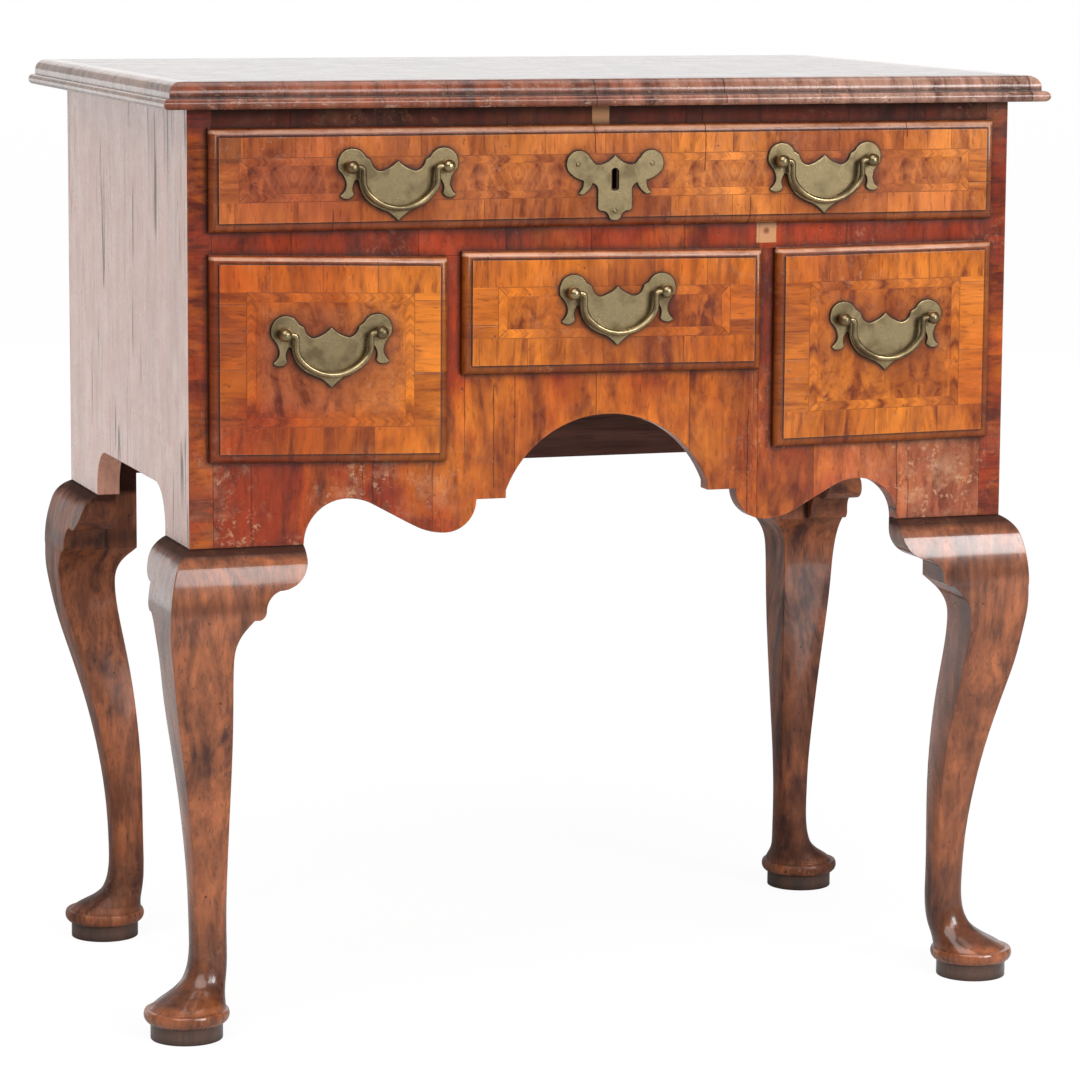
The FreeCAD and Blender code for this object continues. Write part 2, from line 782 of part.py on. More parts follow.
def ears():
    for name, side in (("left", -1), ("right", 1)):
        corner = side * half_case
        together("front_leg_ears_" + name, [
            ear("front_ear_" + name, True, front, -1, corner, -side, "front_ear_reach"),
            ear("side_ear_" + name, False, corner, side, front, 1, "side_ear_reach"),
        ])
        node(ear("back_leg_ear_" + name, False, corner, side, back, -1, "back_ear_reach"))


# ---------------------------------------------------------------- brasses

# Right halves of the two plates, from the peak in the middle of the top edge down to the lowest point.
# A step of one point is a line and of two an arc, given by a point on it and its end.
BACKPLATE_PEAK = (0.0, 3.8)
BACKPLATE_STEPS = (
    ((7.0, -1.5), (13.0, -3.6)),
    ((17.3, -2.0), (19.8, 1.6)),
    ((20.8, 4.4),),
    ((24.6, 6.6),),
    ((34.6, 13.0), (44.8, -2.2)),
    ((41.0, -7.0), (39.2, -12.5)),
    ((40.5, -17.5), (43.9, -21.2)),
    ((39.0, -23.2), (33.6, -20.0)),
    ((34.6, -15.5), (33.0, -11.0)),
    ((31.4, -9.5), (29.6, -11.6)),
    ((25.0, -22.5), (15.5, -29.6)),
    ((12.0, -31.2), (8.6, -32.4)),
    ((4.8, -35.2), (0.0, -39.8)),
)
ESCUTCHEON_PEAK = (0.0, 6.2)
ESCUTCHEON_STEPS = (
    ((6.2, 1.1), (11.8, -0.9)),
    ((15.8, -0.1), (18.2, 2.8)),
    ((19.9, 4.2),),
    ((28.4, 9.6), (36.3, -5.0)),
    ((31.5, -9.2), (24.6, -12.0)),
    ((25.2, -17.2), (28.4, -21.6)),
    ((25.4, -22.4),),
    ((20.4, -18.6), (17.8, -13.8)),
    ((14.5, -15.6), (13.2, -19.6)),
    ((13.2, -31.0),),
    ((12.6, -33.4), (10.4, -34.4)),
    ((5.8, -36.4), (4.6, -38.8)),
    ((2.8, -41.0), (0.0, -41.4)),
)


def symmetric(peak, steps):
    """Both halves of an outline that is the same left and right."""
    edges = []
    for side in (1, -1):
        half = Outline(side * peak[0], peak[1])
        for step in steps:
            end = (side * step[-1][0], step[-1][1])
            if len(step) == 1:
                half.line(*end)
            else:
                half.arc((side * step[0][0], step[0][1]), end)
        edges.extend(half.edges)
    return edges


def front_edges(body):
    """Names of the edges that lie in a body's foremost plane."""
    doc.recompute()
    foremost = min(corner.Y for corner in body.Shape.Vertexes)
    return [f"Edge{number}" for number, edge in enumerate(body.Shape.Edges, 1)
            if max(corner.Y for corner in edge.Vertexes) < foremost + 1e-4]


def place_brass(piece, x, y, height):
    for axis, text in zip("xyz", (x, y, height)):
        piece.setExpression("Placement.Base." + axis, bound(text))
    return piece


def backplate(name, x, height):
    """A bat-wing backplate, drawn about the line between its two posts."""
    body = new_body(name)
    pad(body, "XZ_Plane", symmetric(BACKPLATE_PEAK, BACKPLATE_STEPS), "plate_thickness")
    for side in (-1, 1):
        hole = circle(side * size("post_spacing") / 2, 0, size("post_radius") + size("post_hole_fit"))
        pocket(body, "XZ_Plane", hole, "plate_thickness + 2 * cut_over", size("plate_thickness") + over)
    return place_brass(body, x, FIELD_FACE, height)


def post(name, side, x, height):
    """A handle post: a ball head with a blind bore for the bail, a collar, a shank and its nut."""
    reach = size("post_reach")
    head = size("head_radius")
    shank = size("post_radius")
    nut_face = reach + size("plate_thickness") + measure(INNER_FACE) - field_face
    nut_end = nut_face + size("nut_thickness")
    neck = math.sqrt(head ** 2 - shank ** 2)
    outline = Outline(0, -head)
    outline.arc((head, 0), (shank, neck))
    collar = shank + size("collar_width")
    collar_front = reach - size("collar_thickness")
    outline.line(shank, collar_front)
    outline.line(collar, collar_front)
    outline.line(collar, reach)
    outline.line(shank, reach)
    outline.line(shank, nut_face)
    outline.line(size("nut_radius"), nut_face)
    outline.line(size("nut_radius"), nut_end)
    outline.line(0, nut_end)
    body = new_body(name)
    sketch = sketch_on(body, "XY_Plane", outline.close())
    turned = body.newObject("PartDesign::Revolution", name + "_turned")
    turned.Profile = sketch
    turned.ReferenceAxis = (sketch, ["V_Axis"])
    bore = circle(0, 0, size("bail_radius") + size("bail_fit"))
    deep = "head_radius + cut_over - post_spacing / 2 + bail_pin_end + bail_fit"
    pocket(body, "YZ_Plane", bore, deep, -side * (head + over), backwards=side > 0)
    pivot = FIELD_FACE + " - plate_thickness - post_reach"
    offset = " + post_spacing / 2" if side > 0 else " - post_spacing / 2"
    return place_brass(body, x + offset, pivot, height)


def bail(name, x, height):
    """A drop bail, a rod bent to a flattened loop with a pin at each end, hanging from its posts."""
    half = size("bail_half_width")
    rod = size("bail_radius")
    pin = size("bail_pin_end")
    drop = size("bail_drop")
    bend = size("bail_bend")
    straight = size("bail_shoulder")
    corner = size("bail_corner")
    deep = drop - straight
    bottom = ((half - corner) ** 2 + deep ** 2 - corner ** 2) / (2 * (deep - corner))
    toward = Vector(half - corner, deep - bottom, 0)
    toward.normalize()
    meet = (half - corner + toward.x * corner, -straight + toward.y * corner)
    spine = Outline(-pin, 0).line(-half - bend, 0)
    spine.turn((-half - bend, -bend), (-half, -bend))
    spine.line(-half, -straight)
    spine.turn((-half + corner, -straight), (-meet[0], meet[1]))
    spine.arc((0, -drop), meet)
    spine.turn((half - corner, -straight), (half, -straight))
    spine.line(half, -bend)
    spine.turn((half + bend, -bend), (half + bend, 0))
    spine.line(pin, 0)
    body = new_body(name)
    section = sketch_on(body, "YZ_Plane", circle(0, 0, rod), -pin)
    path = sketch_on(body, "XZ_Plane", spine.edges)
    pipe = body.newObject("PartDesign::AdditivePipe", name + "_rod")
    pipe.Profile = section
    pipe.Spine = (path, [f"Edge{number + 1}" for number in range(len(spine.edges))])
    return place_brass(body, x, FIELD_FACE + " - plate_thickness - post_reach", height)


def handles(name, places):
    """The handles of one drawer: plates and bails each a node, with the posts of the drawer together."""
    posts = []
    for suffix, x, height in places:
        node(backplate(name + "_backplate" + suffix, x, height))
        node(bail(name + "_bail" + suffix, x, height))
        posts.append(post(name + "_post" + suffix + "_left", -1, x, height))
        posts.append(post(name + "_post" + suffix + "_right", 1, x, height))
    together(name + "_handle_posts", posts)


def escutcheon():
    """The lock's plate with its keyhole, and the three pins that hold it."""
    body = new_body("escutcheon_plate")
    pad(body, "XZ_Plane", symmetric(ESCUTCHEON_PEAK, ESCUTCHEON_STEPS), "plate_thickness")
    half = size("keyhole_width") / 2
    top = -size("keyhole_drop")
    low = top - size("keyhole_length")
    foot = low + size("keyhole_foot")
    slot = Outline(-half, top - half).arc((0, top), (half, top - half))
    slot.line(half, foot).arc((0, low), (-half, foot))
    pocket(body, "XZ_Plane", slot.close(), "plate_thickness + 2 * cut_over", size("plate_thickness") + over)
    place_brass(body, "0", FIELD_FACE, ESCUTCHEON)
    pins = []
    radius = size("pin_radius")
    crown = -size("pin_head")
    rim = -size("pin_rim")
    spots = (("left", "-pin_spread", ESCUTCHEON), ("right", "pin_spread", ESCUTCHEON),
             ("low", "0", ESCUTCHEON + " - pin_drop"))
    for name, x, height in spots:
        dome = Outline(0, crown).line(radius - size("pin_slope"), crown).line(radius, rim)
        dome.line(radius, 0).line(0, 0)
        pin = new_body("escutcheon_pin_" + name)
        sketch = sketch_on(pin, "XY_Plane", dome.close())
        turned = pin.newObject("PartDesign::Revolution", pin.Name + "_turned")
        turned.Profile = sketch
        turned.ReferenceAxis = (sketch, ["V_Axis"])
        pins.append(place_brass(pin, x, FIELD_FACE + " - plate_thickness", height))
    together("escutcheon", [body] + pins)


# ---------------------------------------------------------------- drawers

# Half a tail's width at its root and at its tip, as shares of the tails' spacing.
TAIL_ROOT = 0.26
TAIL_TIP = 0.36


def tails(root, tip, low, high, count):
    """Corners of a row of dovetails, from the lowest up, in a sketch of Y against Z."""
    pitch = (high - low) / count
    points = []
    for number in range(count):
        middle = low + (number + 0.5) * pitch
        points.append((root, middle - TAIL_ROOT * pitch))
        points.append((tip, middle - TAIL_TIP * pitch))
        points.append((tip, middle + TAIL_TIP * pitch))
        points.append((root, middle + TAIL_ROOT * pitch))
    return points


def drawer_side(name, corner, groove_x, groove_backwards, low, high, count):
    """A drawer side with dovetails at both ends and a groove for the bottom."""
    groove_low = low + size("bottom_lift")
    groove_high = groove_low + size("drawer_bottom_thickness")
    root = measure(INNER_FACE)
    tip = front + size("tail_lap")
    end = back_face - size("back_gap")
    back_root = end - size("drawer_back_thickness")
    outline = Outline(root, low)
    for point in tails(root, tip, low, high, count):
        outline.line(*point)
    outline.line(root, high)
    outline.line(back_root, high)
    for point in reversed(tails(back_root, end, groove_high, high, count)):
        outline.line(*point)
    outline.line(back_root, groove_high)
    outline.line(end, groove_high)
    outline.line(end, low)
    body = new_body(name)
    pad(body, "YZ_Plane", outline.close(), "drawer_side_thickness", measure(corner))
    slot = rectangle(root, groove_low, end + over, groove_high)
    pocket(body, "YZ_Plane", slot, "groove_depth", measure(groove_x), groove_backwards)
    return body


def hung(x0, z0, x1, z1, slope):
    """A front's outline: a rectangle that falls along X with the slope."""
    fall = slope * (x1 - x0) / 2
    outline = Outline(x0, z0 + fall)
    outline.line(x1, z0 - fall)
    outline.line(x1, z1 - fall)
    outline.line(x0, z1 + fall)
    return outline.close()


def drawer_front(name, left, right, sill, head, drop, post_places, key_height=None):
    """A drawer front: a lip rounded all round, the field raised inside it and the part that enters."""
    body = new_body(name)
    overlap = size("lip_overlap")
    x0, x1 = measure(left) - overlap, measure(right) + overlap
    z0, z1 = measure(sill) - overlap, measure(head) + size("lip_overlap_above")
    slope = measure(drop) / (x1 - x0)
    inset = size("field_inset")
    back_of_lip = front - size("lip_clearance")
    pad(body, "XZ_Plane", hung(x0, z0, x1, z1, slope), "lip_thickness", -back_of_lip)
    lip = body.Tip
    names = front_edges(body)
    rounding = body.newObject("PartDesign::Fillet", name + "_rounding")
    rounding.Base = (lip, names)
    rounding.setExpression("Radius", bound("lip_round"))
    field = hung(x0 + inset, z0 + inset, x1 - inset, z1 - inset, slope)
    pad(body, "XZ_Plane", field, "field_height", -(back_of_lip - size("lip_thickness")))
    gap = size("side_clearance")
    low = measure(sill) + size("runner_clearance")
    high = measure(head) - size("head_clearance")
    entering = rectangle(measure(left) + gap, low, measure(right) - gap, high)
    pad(body, "XZ_Plane", entering, "front_inset + lip_clearance", -back_of_lip, backwards=True)
    through = "field_height + lip_thickness + lip_clearance + front_inset + 2 * cut_over"
    radius = size("post_radius") + size("post_hole_fit")
    for x, height in post_places:
        for side in (-1, 1):
            spot = circle(measure(x) + side * size("post_spacing") / 2, measure(height), radius)
            pocket(body, "XZ_Plane", spot, through, -(field_face - over))
    if key_height:
        half = size("key_slot") / 2
        top = measure(key_height) - size("key_slot_drop")
        slot = rectangle(-half, top - size("key_slot_length"), half, top)
        pocket(body, "XZ_Plane", slot, through, -(field_face - over))
    return body


def drawer(name, left, right, sill, head, drop, count, places, key_height=None):
    """One drawer: its front, two sides, back and bottom, and its handles."""
    low = measure(sill) + size("runner_clearance")
    high = measure(head) - size("head_clearance")
    x_left = "(" + left + " + side_clearance)"
    x_right = "(" + right + " - side_clearance)"
    side_left = drawer_side(name + "_side_left", x_left, x_left + " + drawer_side_thickness",
                            False, low, high, count)
    side_right = drawer_side(name + "_side_right", x_right + " - drawer_side_thickness",
                             x_right + " - drawer_side_thickness", True, low, high, count)
    sides = [side_left, side_right]
    face = drawer_front(name + "_front_board", left, right, sill, head, drop,
                        [(x, height) for _, x, height in places], key_height)
    node(cut(name + "_front", face, sides))
    node(side_left)
    node(side_right)
    end = "(" + BACK_FACE + " - back_gap)"
    floor = "(" + sill + " + runner_clearance + bottom_lift)"
    board_back = board(name + "_back_board",
                       (x_left, end + " - drawer_back_thickness", floor + " + drawer_bottom_thickness"),
                       (x_right + " - " + x_left, "drawer_back_thickness",
                        head + " - head_clearance - " + floor + " - drawer_bottom_thickness"))
    node(cut(name + "_back", board_back, sides))
    groove = "(drawer_side_thickness - groove_depth)"
    node(board(name + "_bottom", (x_left + " + " + groove, INNER_FACE, floor),
               (x_right + " - " + x_left + " - 2 * " + groove, end + " - " + INNER_FACE,
                "drawer_bottom_thickness")))
    handles(name, places)


def lock():
    """The drawer lock behind the long drawer's front, and the bolt that rises from it."""
    top = "(" + FRIEZE_BOTTOM + " - head_clearance)"
    case = board("lock_blank", ("-lock_width / 2", INNER_FACE, top + " - " + LOCK_HEIGHT),
                 ("lock_width", "lock_thickness", LOCK_HEIGHT))
    way = board("bolt_way", ("-bolt_width / 2 - bolt_fit", BOLT_FACE + " - bolt_fit",
                             top + " - " + BOLT_LENGTH + " - bolt_fit"),
                ("bolt_width + 2 * bolt_fit", "bolt_thickness + 2 * bolt_fit",
                 BOLT_LENGTH + " + bolt_fit + cut_over"))
    node(cut("lock_case", case, [way]))
    node(board("lock_bolt", ("-bolt_width / 2", BOLT_FACE, top + " - " + BOLT_LENGTH),
               ("bolt_width", "bolt_thickness", BOLT_LENGTH)))


def drawers():
    drawer("long_drawer", "-" + INNER, INNER, RAIL_TOP, FRIEZE_BOTTOM, "0", 3,
           (("_left", "-long_handle_offset", LONG_HANDLE),
            ("_right", "long_handle_offset", LONG_HANDLE)), ESCUTCHEON)
    drawer("left_drawer", "-" + INNER, LEFT_OUT, SIDE_SILL, RAIL_BOTTOM, "left_front_drop", 5,
           (("", "((" + LEFT_OUT + " - " + INNER + ") / 2)", SIDE_HANDLE),))
    drawer("centre_drawer", LEFT_IN, RIGHT_IN, CENTRE_SILL, RAIL_BOTTOM, "centre_front_drop", 3,
           (("", "centre_handle_offset", CENTRE_HANDLE),))
    drawer("right_drawer", RIGHT_OUT, INNER, SIDE_SILL, RAIL_BOTTOM, "-right_front_rise", 5,
           (("", "((" + INNER + " + " + RIGHT_OUT + ") / 2)", SIDE_HANDLE),))
    escutcheon()
    lock()


# ---------------------------------------------------------------- build and write

top_pieces()
case_pieces()
runners()
legs()
ears()
drawers()
doc.recompute()

for thing in doc.Objects:
    bad = [state for state in thing.State if state in ("Invalid", "Error")]
    if bad:
        raise RuntimeError(thing.Label + " is " + ", ".join(bad))
for piece in nodes:
    shape = piece.Shape
    if shape.isNull() or not shape.isValid() or not shape.Solids:
        raise RuntimeError(piece.Label + " has no valid solid")

os.makedirs("parts", exist_ok=True)
for piece in nodes:
    piece.Shape.exportStep("parts/" + piece.Label + ".step")
print(len(nodes), "nodes written")
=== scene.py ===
"""Dresses the walnut lowboy: veneers, bandings, solid walnut, old brass and a plain studio."""

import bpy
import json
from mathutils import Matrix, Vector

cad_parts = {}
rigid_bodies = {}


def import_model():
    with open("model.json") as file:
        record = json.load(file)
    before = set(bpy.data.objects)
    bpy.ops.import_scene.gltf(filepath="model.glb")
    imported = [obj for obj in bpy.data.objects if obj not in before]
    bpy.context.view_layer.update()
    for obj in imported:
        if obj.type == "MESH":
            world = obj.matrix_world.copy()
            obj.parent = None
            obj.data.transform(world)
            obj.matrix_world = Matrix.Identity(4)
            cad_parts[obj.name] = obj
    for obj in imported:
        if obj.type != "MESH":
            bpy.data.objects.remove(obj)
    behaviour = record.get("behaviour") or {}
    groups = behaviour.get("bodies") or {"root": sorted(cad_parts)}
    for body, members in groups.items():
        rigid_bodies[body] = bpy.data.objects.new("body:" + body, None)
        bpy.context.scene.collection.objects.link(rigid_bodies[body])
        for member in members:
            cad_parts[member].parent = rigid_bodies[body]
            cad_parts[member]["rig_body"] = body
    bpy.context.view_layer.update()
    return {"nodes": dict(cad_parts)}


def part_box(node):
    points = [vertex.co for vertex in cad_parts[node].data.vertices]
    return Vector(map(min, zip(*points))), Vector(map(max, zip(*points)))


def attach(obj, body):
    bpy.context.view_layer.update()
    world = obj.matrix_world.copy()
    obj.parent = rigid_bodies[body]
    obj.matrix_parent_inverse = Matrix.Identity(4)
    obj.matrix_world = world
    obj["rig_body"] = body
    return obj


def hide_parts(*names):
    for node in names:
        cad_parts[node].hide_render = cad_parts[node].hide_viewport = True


bl_info = {
    "name": "Lowboy dressing",
    "version": (1, 0, 0),
    "blender": (4, 5, 0),
    "location": "View3D > Sidebar > Lowboy",
    "description": "Finishes the wood and brass of a walnut lowboy and sets up its studio",
    "category": "Object",
}

import json
import math
from collections import namedtuple

import bmesh
import bpy
from bpy.props import FloatProperty, FloatVectorProperty, PointerProperty
from mathutils import Matrix, Vector
from mathutils.bvhtree import BVHTree

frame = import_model()

DRAWERS = ("long_drawer", "left_drawer", "centre_drawer", "right_drawer")
# how a board's grain is drawn out, along X or along Y
ALONG_X = (0.08, 1.0, 1.0)
ALONG_Y = (1.0, 0.08, 1.0)


def owner(node):
    """The body that a CAD node rides on."""
    return frame["nodes"][node]["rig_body"]


# ---------------------------------------------------------------- settings

def colour(name, description, default):
    return FloatVectorProperty(name=name, description=description, default=default, size=3, min=0, max=1,
                               subtype="COLOR")


def length(name, description, default):
    return FloatProperty(name=name, description=description, default=default, min=0, unit="LENGTH",
                         subtype="DISTANCE", precision=5)


def share(name, description, default):
    return FloatProperty(name=name, description=description, default=default, min=0, max=1, subtype="FACTOR")


def power(name, description, default):
    return FloatProperty(name=name, description=description, default=default, min=0, unit="POWER")


class LowboyVeneer(bpy.types.PropertyGroup):
    """Colours of the veneers, the widths of the bandings and the wear of the veneered boards' edges."""

    light: colour("Golden veneer", "Golden walnut of the drawers", (0.95, 0.275, 0.020))
    dark: colour("Golden veneer, dark", "Dark figure in the golden walnut", (0.190, 0.030, 0.004))
    red: colour("Red veneer", "Deep red walnut of the rails and stiles", (0.47, 0.048, 0.005))
    red_dark: colour("Red veneer, dark", "Dark figure in the red walnut", (0.095, 0.009, 0.002))
    worn: colour("Worn wood", "Bare wood where the polish has gone", (0.66, 0.36, 0.20))
    # this colour is a painted highlight along the upper lips
    lip: colour("Rubbed lip", "Wood along the upper lips, rubbed pale", (0.80, 0.42, 0.27))
    patch: colour("Patched wood", "Pale wood let into the rails", (0.66, 0.34, 0.16))
    block: colour("Dark block", "Dark wood let into the long drawer", (0.13, 0.040, 0.016))
    # this dark colour is painted shade in corners, round the brasses and under the top, as well as real dirt
    # in cracks and joints
    grime_and_shade: colour("Grime and shade", "Dark dirt in the corners and round the brasses", (0.022, 0.009, 0.006))
    top: colour("Top", "Faded figured veneer of the top", (0.26, 0.12, 0.065))
    top_dark: colour("Top, dark", "Dark figure of the top", (0.075, 0.032, 0.018))
    lip_width: length("Lip", "Width of the rounded lip round a drawer's field", 0.0065)
    cross_band: length("Cross-band", "Width of the cross-grained band round a lower drawer", 0.0200)
    feather_band: length("Feather band", "Width of the feather band inside the cross-band", 0.0070)
    long_cross_band: length("Long drawer's cross-band", "Width of the band round the long drawer", 0.0150)
    long_feather_band: length("Long drawer's feather band", "Width of the long drawer's feather", 0.0060)
    long_leaf: length("Long drawer's leaf", "Width of a mirrored leaf of the long drawer's field", 0.0850)
    top_leaf: length("Top's leaf", "Width of a mirrored leaf of the top", 0.160)
    bevel: length("Case edge", "How far the edges of the case's boards are worn round", 0.0007)
    top_bevel: length("Top edge", "How far the edges of the top board are worn round", 0.0002)
    drawer_bevel: length("Drawer edge", "How far the edges of the drawer fronts are worn round", 0.0005)


class LowboyWalnut(bpy.types.PropertyGroup):
    """Colours of the solid walnut, the oak and the plain wood inside, and the wear of the walnut's edges."""

    moulding: colour("Moulding", "Cross-grained walnut moulding", (0.40, 0.098, 0.038))
    # this colour is painted glare on the end mouldings and on the right of the front one
    moulding_glare: colour("Moulding, faded", "The mouldings at the ends, faded", (0.60, 0.36, 0.27))
    moulding_dark: colour("Moulding, dark", "Dark lengths of the moulding", (0.085, 0.022, 0.012))
    moulding_worn: colour("Moulding, worn", "Bare wood on the mouldings' high spots", (0.60, 0.36, 0.25))
    chip: colour("Chip", "Bare wood where the moulding is chipped", (0.70, 0.47, 0.34))
    leg: colour("Leg", "Polished solid walnut", (0.58, 0.180, 0.066))
    leg_dark: colour("Leg, dark", "Dark figure and old polish on the legs", (0.085, 0.026, 0.016))
    # this colour is also the painted shade on the legs just under the case
    leg_grime_and_shade: colour("Leg, grime", "Old dark polish in the legs' hollows", (0.040, 0.011, 0.006))
    leg_worn: colour("Leg, worn", "Bare wood on the legs' rubbed edges", (0.50, 0.24, 0.13))
    disc_grime: colour("Disc, grime", "Grey dirt on the discs under the feet", (0.060, 0.045, 0.038))
    side: colour("Side", "Faded walnut of the case's sides", (0.90, 0.44, 0.30))
    side_dark: colour("Side, dark", "Dark streaks of the case's sides", (0.46, 0.20, 0.13))
    oak: colour("Drawer linings", "Unpolished wood inside the drawers", (0.42, 0.27, 0.14))
    oak_dark: colour("Drawer linings, dark", "Grain at the back of the drawer fronts", (0.21, 0.135, 0.07))
    pine: colour("Case wood", "Darkened wood of the back and the runners", (0.23, 0.095, 0.070))
    pine_dark: colour("Case wood, dark", "Grain of the back and the runners", (0.065, 0.028, 0.021))
    moulding_bevel: length("Moulding edge", "How far the mouldings' edges are worn round", 0.0005)
    leg_bevel: length("Leg edge", "How far the legs' edges are worn round", 0.0014)
    ear_bevel: length("Ear edge", "How far the ears' edges are worn round", 0.0012)


class LowboyMetal(bpy.types.PropertyGroup):
    """The brasses and the lock."""

    brass: colour("Brass", "Worn bright brass", (0.42, 0.325, 0.175))
    tarnish: colour("Tarnish", "Dull brown tarnish on the brass", (0.120, 0.090, 0.048))
    iron: colour("Iron", "The lock's dark iron", (0.10, 0.095, 0.09))
    rust: colour("Rust", "Old rust on the lock", (0.06, 0.035, 0.025))
    plate_bevel: length("Plate bevel", "Bevel round the backplates", 0.0008)


class LowboyStage(bpy.types.PropertyGroup):
    """The floor, the lamps and the camera."""

    floor: share("Floor brightness", "How pale the floor and the sweep behind it are", 0.93)
    bounce: share("Floor bounce", "How much light the floor throws back on the lowboy", 0.60)
    air: share("Ambient light", "How bright the studio around the lowboy is", 0.22)
    key: FloatProperty(name="Key light", description="Strength of the broad light from the front left",
                       default=1.50, min=0)
    over: power("Overhead lamp", "Power of the lamp above the lowboy", 20.0)
    front: power("Front lamp", "Power of the lamp whose glare lies on the right knee", 50.0)
    left_front: power("Left front lamp", "Power of the lamp whose glare lies on the left knee", 21.0)
    behind: power("Lamp behind", "Power of the lamp whose glare lies on the top", 14.3)
    low: power("Low lamp", "Power of the low lamp whose glare lies on the left side", 3.0)
    lens: FloatProperty(name="Lens", description="Focal length of the camera", default=140.33, min=1,
                        unit="CAMERA")


def settings():
    """The scene, which holds the property groups."""
    return bpy.context.scene


# ---------------------------------------------------------------- shader helpers

class Graph:
    """Adds nodes to a material's or a group's tree."""

    def __init__(self, tree):
        self.tree = tree

    def node(self, kind, values=(), **options):
        made = self.tree.nodes.new("ShaderNode" + kind)
        for name, value in options.items():
            setattr(made, name, value)
        self.feed(made, dict(values))
        return made

    def feed(self, made, values):
        for name, value in values.items():
            socket = made.inputs[name]
            if isinstance(value, bpy.types.NodeSocket):
                self.tree.links.new(value, socket)
            elif socket.type == "RGBA" and len(value) == 3:
                socket.default_value = (*value, 1)
            else:
                socket.default_value = value

    def math(self, operation, first, second=0.0, third=0.0, clamp=False):
        made = self.node("Math", {0: first, 1: second, 2: third}, operation=operation, use_clamp=clamp)
        return made.outputs[0]

    def times(self, first, second, clamp=False):
        return self.math("MULTIPLY", first, second, clamp=clamp)

    def plus(self, first, second, clamp=False):
        return self.math("ADD", first, second, clamp=clamp)

    def minus(self, first, second, clamp=False):
        return self.math("SUBTRACT", first, second, clamp=clamp)

    def over(self, first, second, clamp=False):
        return self.math("DIVIDE", first, second, clamp=clamp)

    def times_plus(self, first, second, third):
        return self.math("MULTIPLY_ADD", first, second, third)

    def size_of(self, value):
        """A value without its sign."""
        return self.math("ABSOLUTE", value)

    def above(self, value, limit):
        """1 above the limit, 0 below it."""
        return self.math("GREATER_THAN", value, limit)

    def below(self, value, limit):
        """1 below the limit, 0 above it."""
        return self.math("LESS_THAN", value, limit)

    def join(self, x, y, z):
        return self.node("CombineXYZ", {0: x, 1: y, 2: z}).outputs[0]

    def parts(self, vector):
        return self.node("SeparateXYZ", {0: vector}).outputs

    def stretch(self, vector, factors):
        made = self.node("VectorMath", {0: vector, 1: factors}, operation="MULTIPLY")
        return made.outputs[0]

    def mix(self, factor, first, second):
        """Goes from the first colour to the second."""
        made = self.node("Mix", data_type="RGBA")
        self.feed(made, {0: factor, 6: first, 7: second})
        return made.outputs[2]

    def mix_vector(self, factor, first, second):
        made = self.node("Mix", data_type="VECTOR")
        self.feed(made, {0: factor, 4: first, 5: second})
        return made.outputs[1]

    def spread(self, value, low, high, out_low=0.0, out_high=1.0):
        """Maps the stretch from low to high to the stretch from out_low to out_high, and holds its ends."""
        made = self.node("MapRange", {0: value, 1: low, 2: high, 3: out_low, 4: out_high})
        return made.outputs[0]

    def noise(self, vector, scale, detail=3.0, rough=0.5, distortion=0.0):
        made = self.node("TexNoise", {"Vector": vector, "Scale": scale, "Detail": detail,
                                      "Roughness": rough, "Distortion": distortion})
        return made.outputs[0]

    def chance(self, value):
        """A random number that belongs to a whole number."""
        return self.node("TexWhiteNoise", {"W": value}, noise_dimensions="1D").outputs["Value"]

    def most(self, largest, *others):
        """The largest of several values."""
        for value in others:
            largest = self.math("MAXIMUM", largest, value)
        return largest

    def flatness(self, radius):
        """1 on the faces, less where an edge turns within the radius."""
        bent = self.node("Bevel", {"Radius": radius}, samples=4).outputs[0]
        flat = self.node("NewGeometry").outputs["Normal"]
        return self.node("VectorMath", {0: bent, 1: flat}, operation="DOT_PRODUCT").outputs["Value"]

    def openness(self):
        """1 in the open, less in corners and beside raised pieces."""
        return self.node("AmbientOcclusion", {"Distance": 0.006}, samples=6).outputs["AO"]

    def use(self, group, values):
        made = self.node("Group")
        made.node_tree = group
        self.feed(made, values)
        return made.outputs


def new_group(name, inputs, outputs):
    """A shader node group with named sockets, its graph, and its input sockets."""
    group = bpy.data.node_groups.new(name, "ShaderNodeTree")
    kinds = {"f": "NodeSocketFloat", "c": "NodeSocketColor", "v": "NodeSocketVector"}
    for socket_name, kind in inputs:
        group.interface.new_socket(socket_name, in_out="INPUT", socket_type=kinds[kind])
    for socket_name, kind in outputs:
        group.interface.new_socket(socket_name, in_out="OUTPUT", socket_type=kinds[kind])
    graph = Graph(group)
    return group, graph, group.nodes.new("NodeGroupInput").outputs


def close_group(graph, values):
    output = graph.tree.nodes.new("NodeGroupOutput")
    graph.feed(output, values)


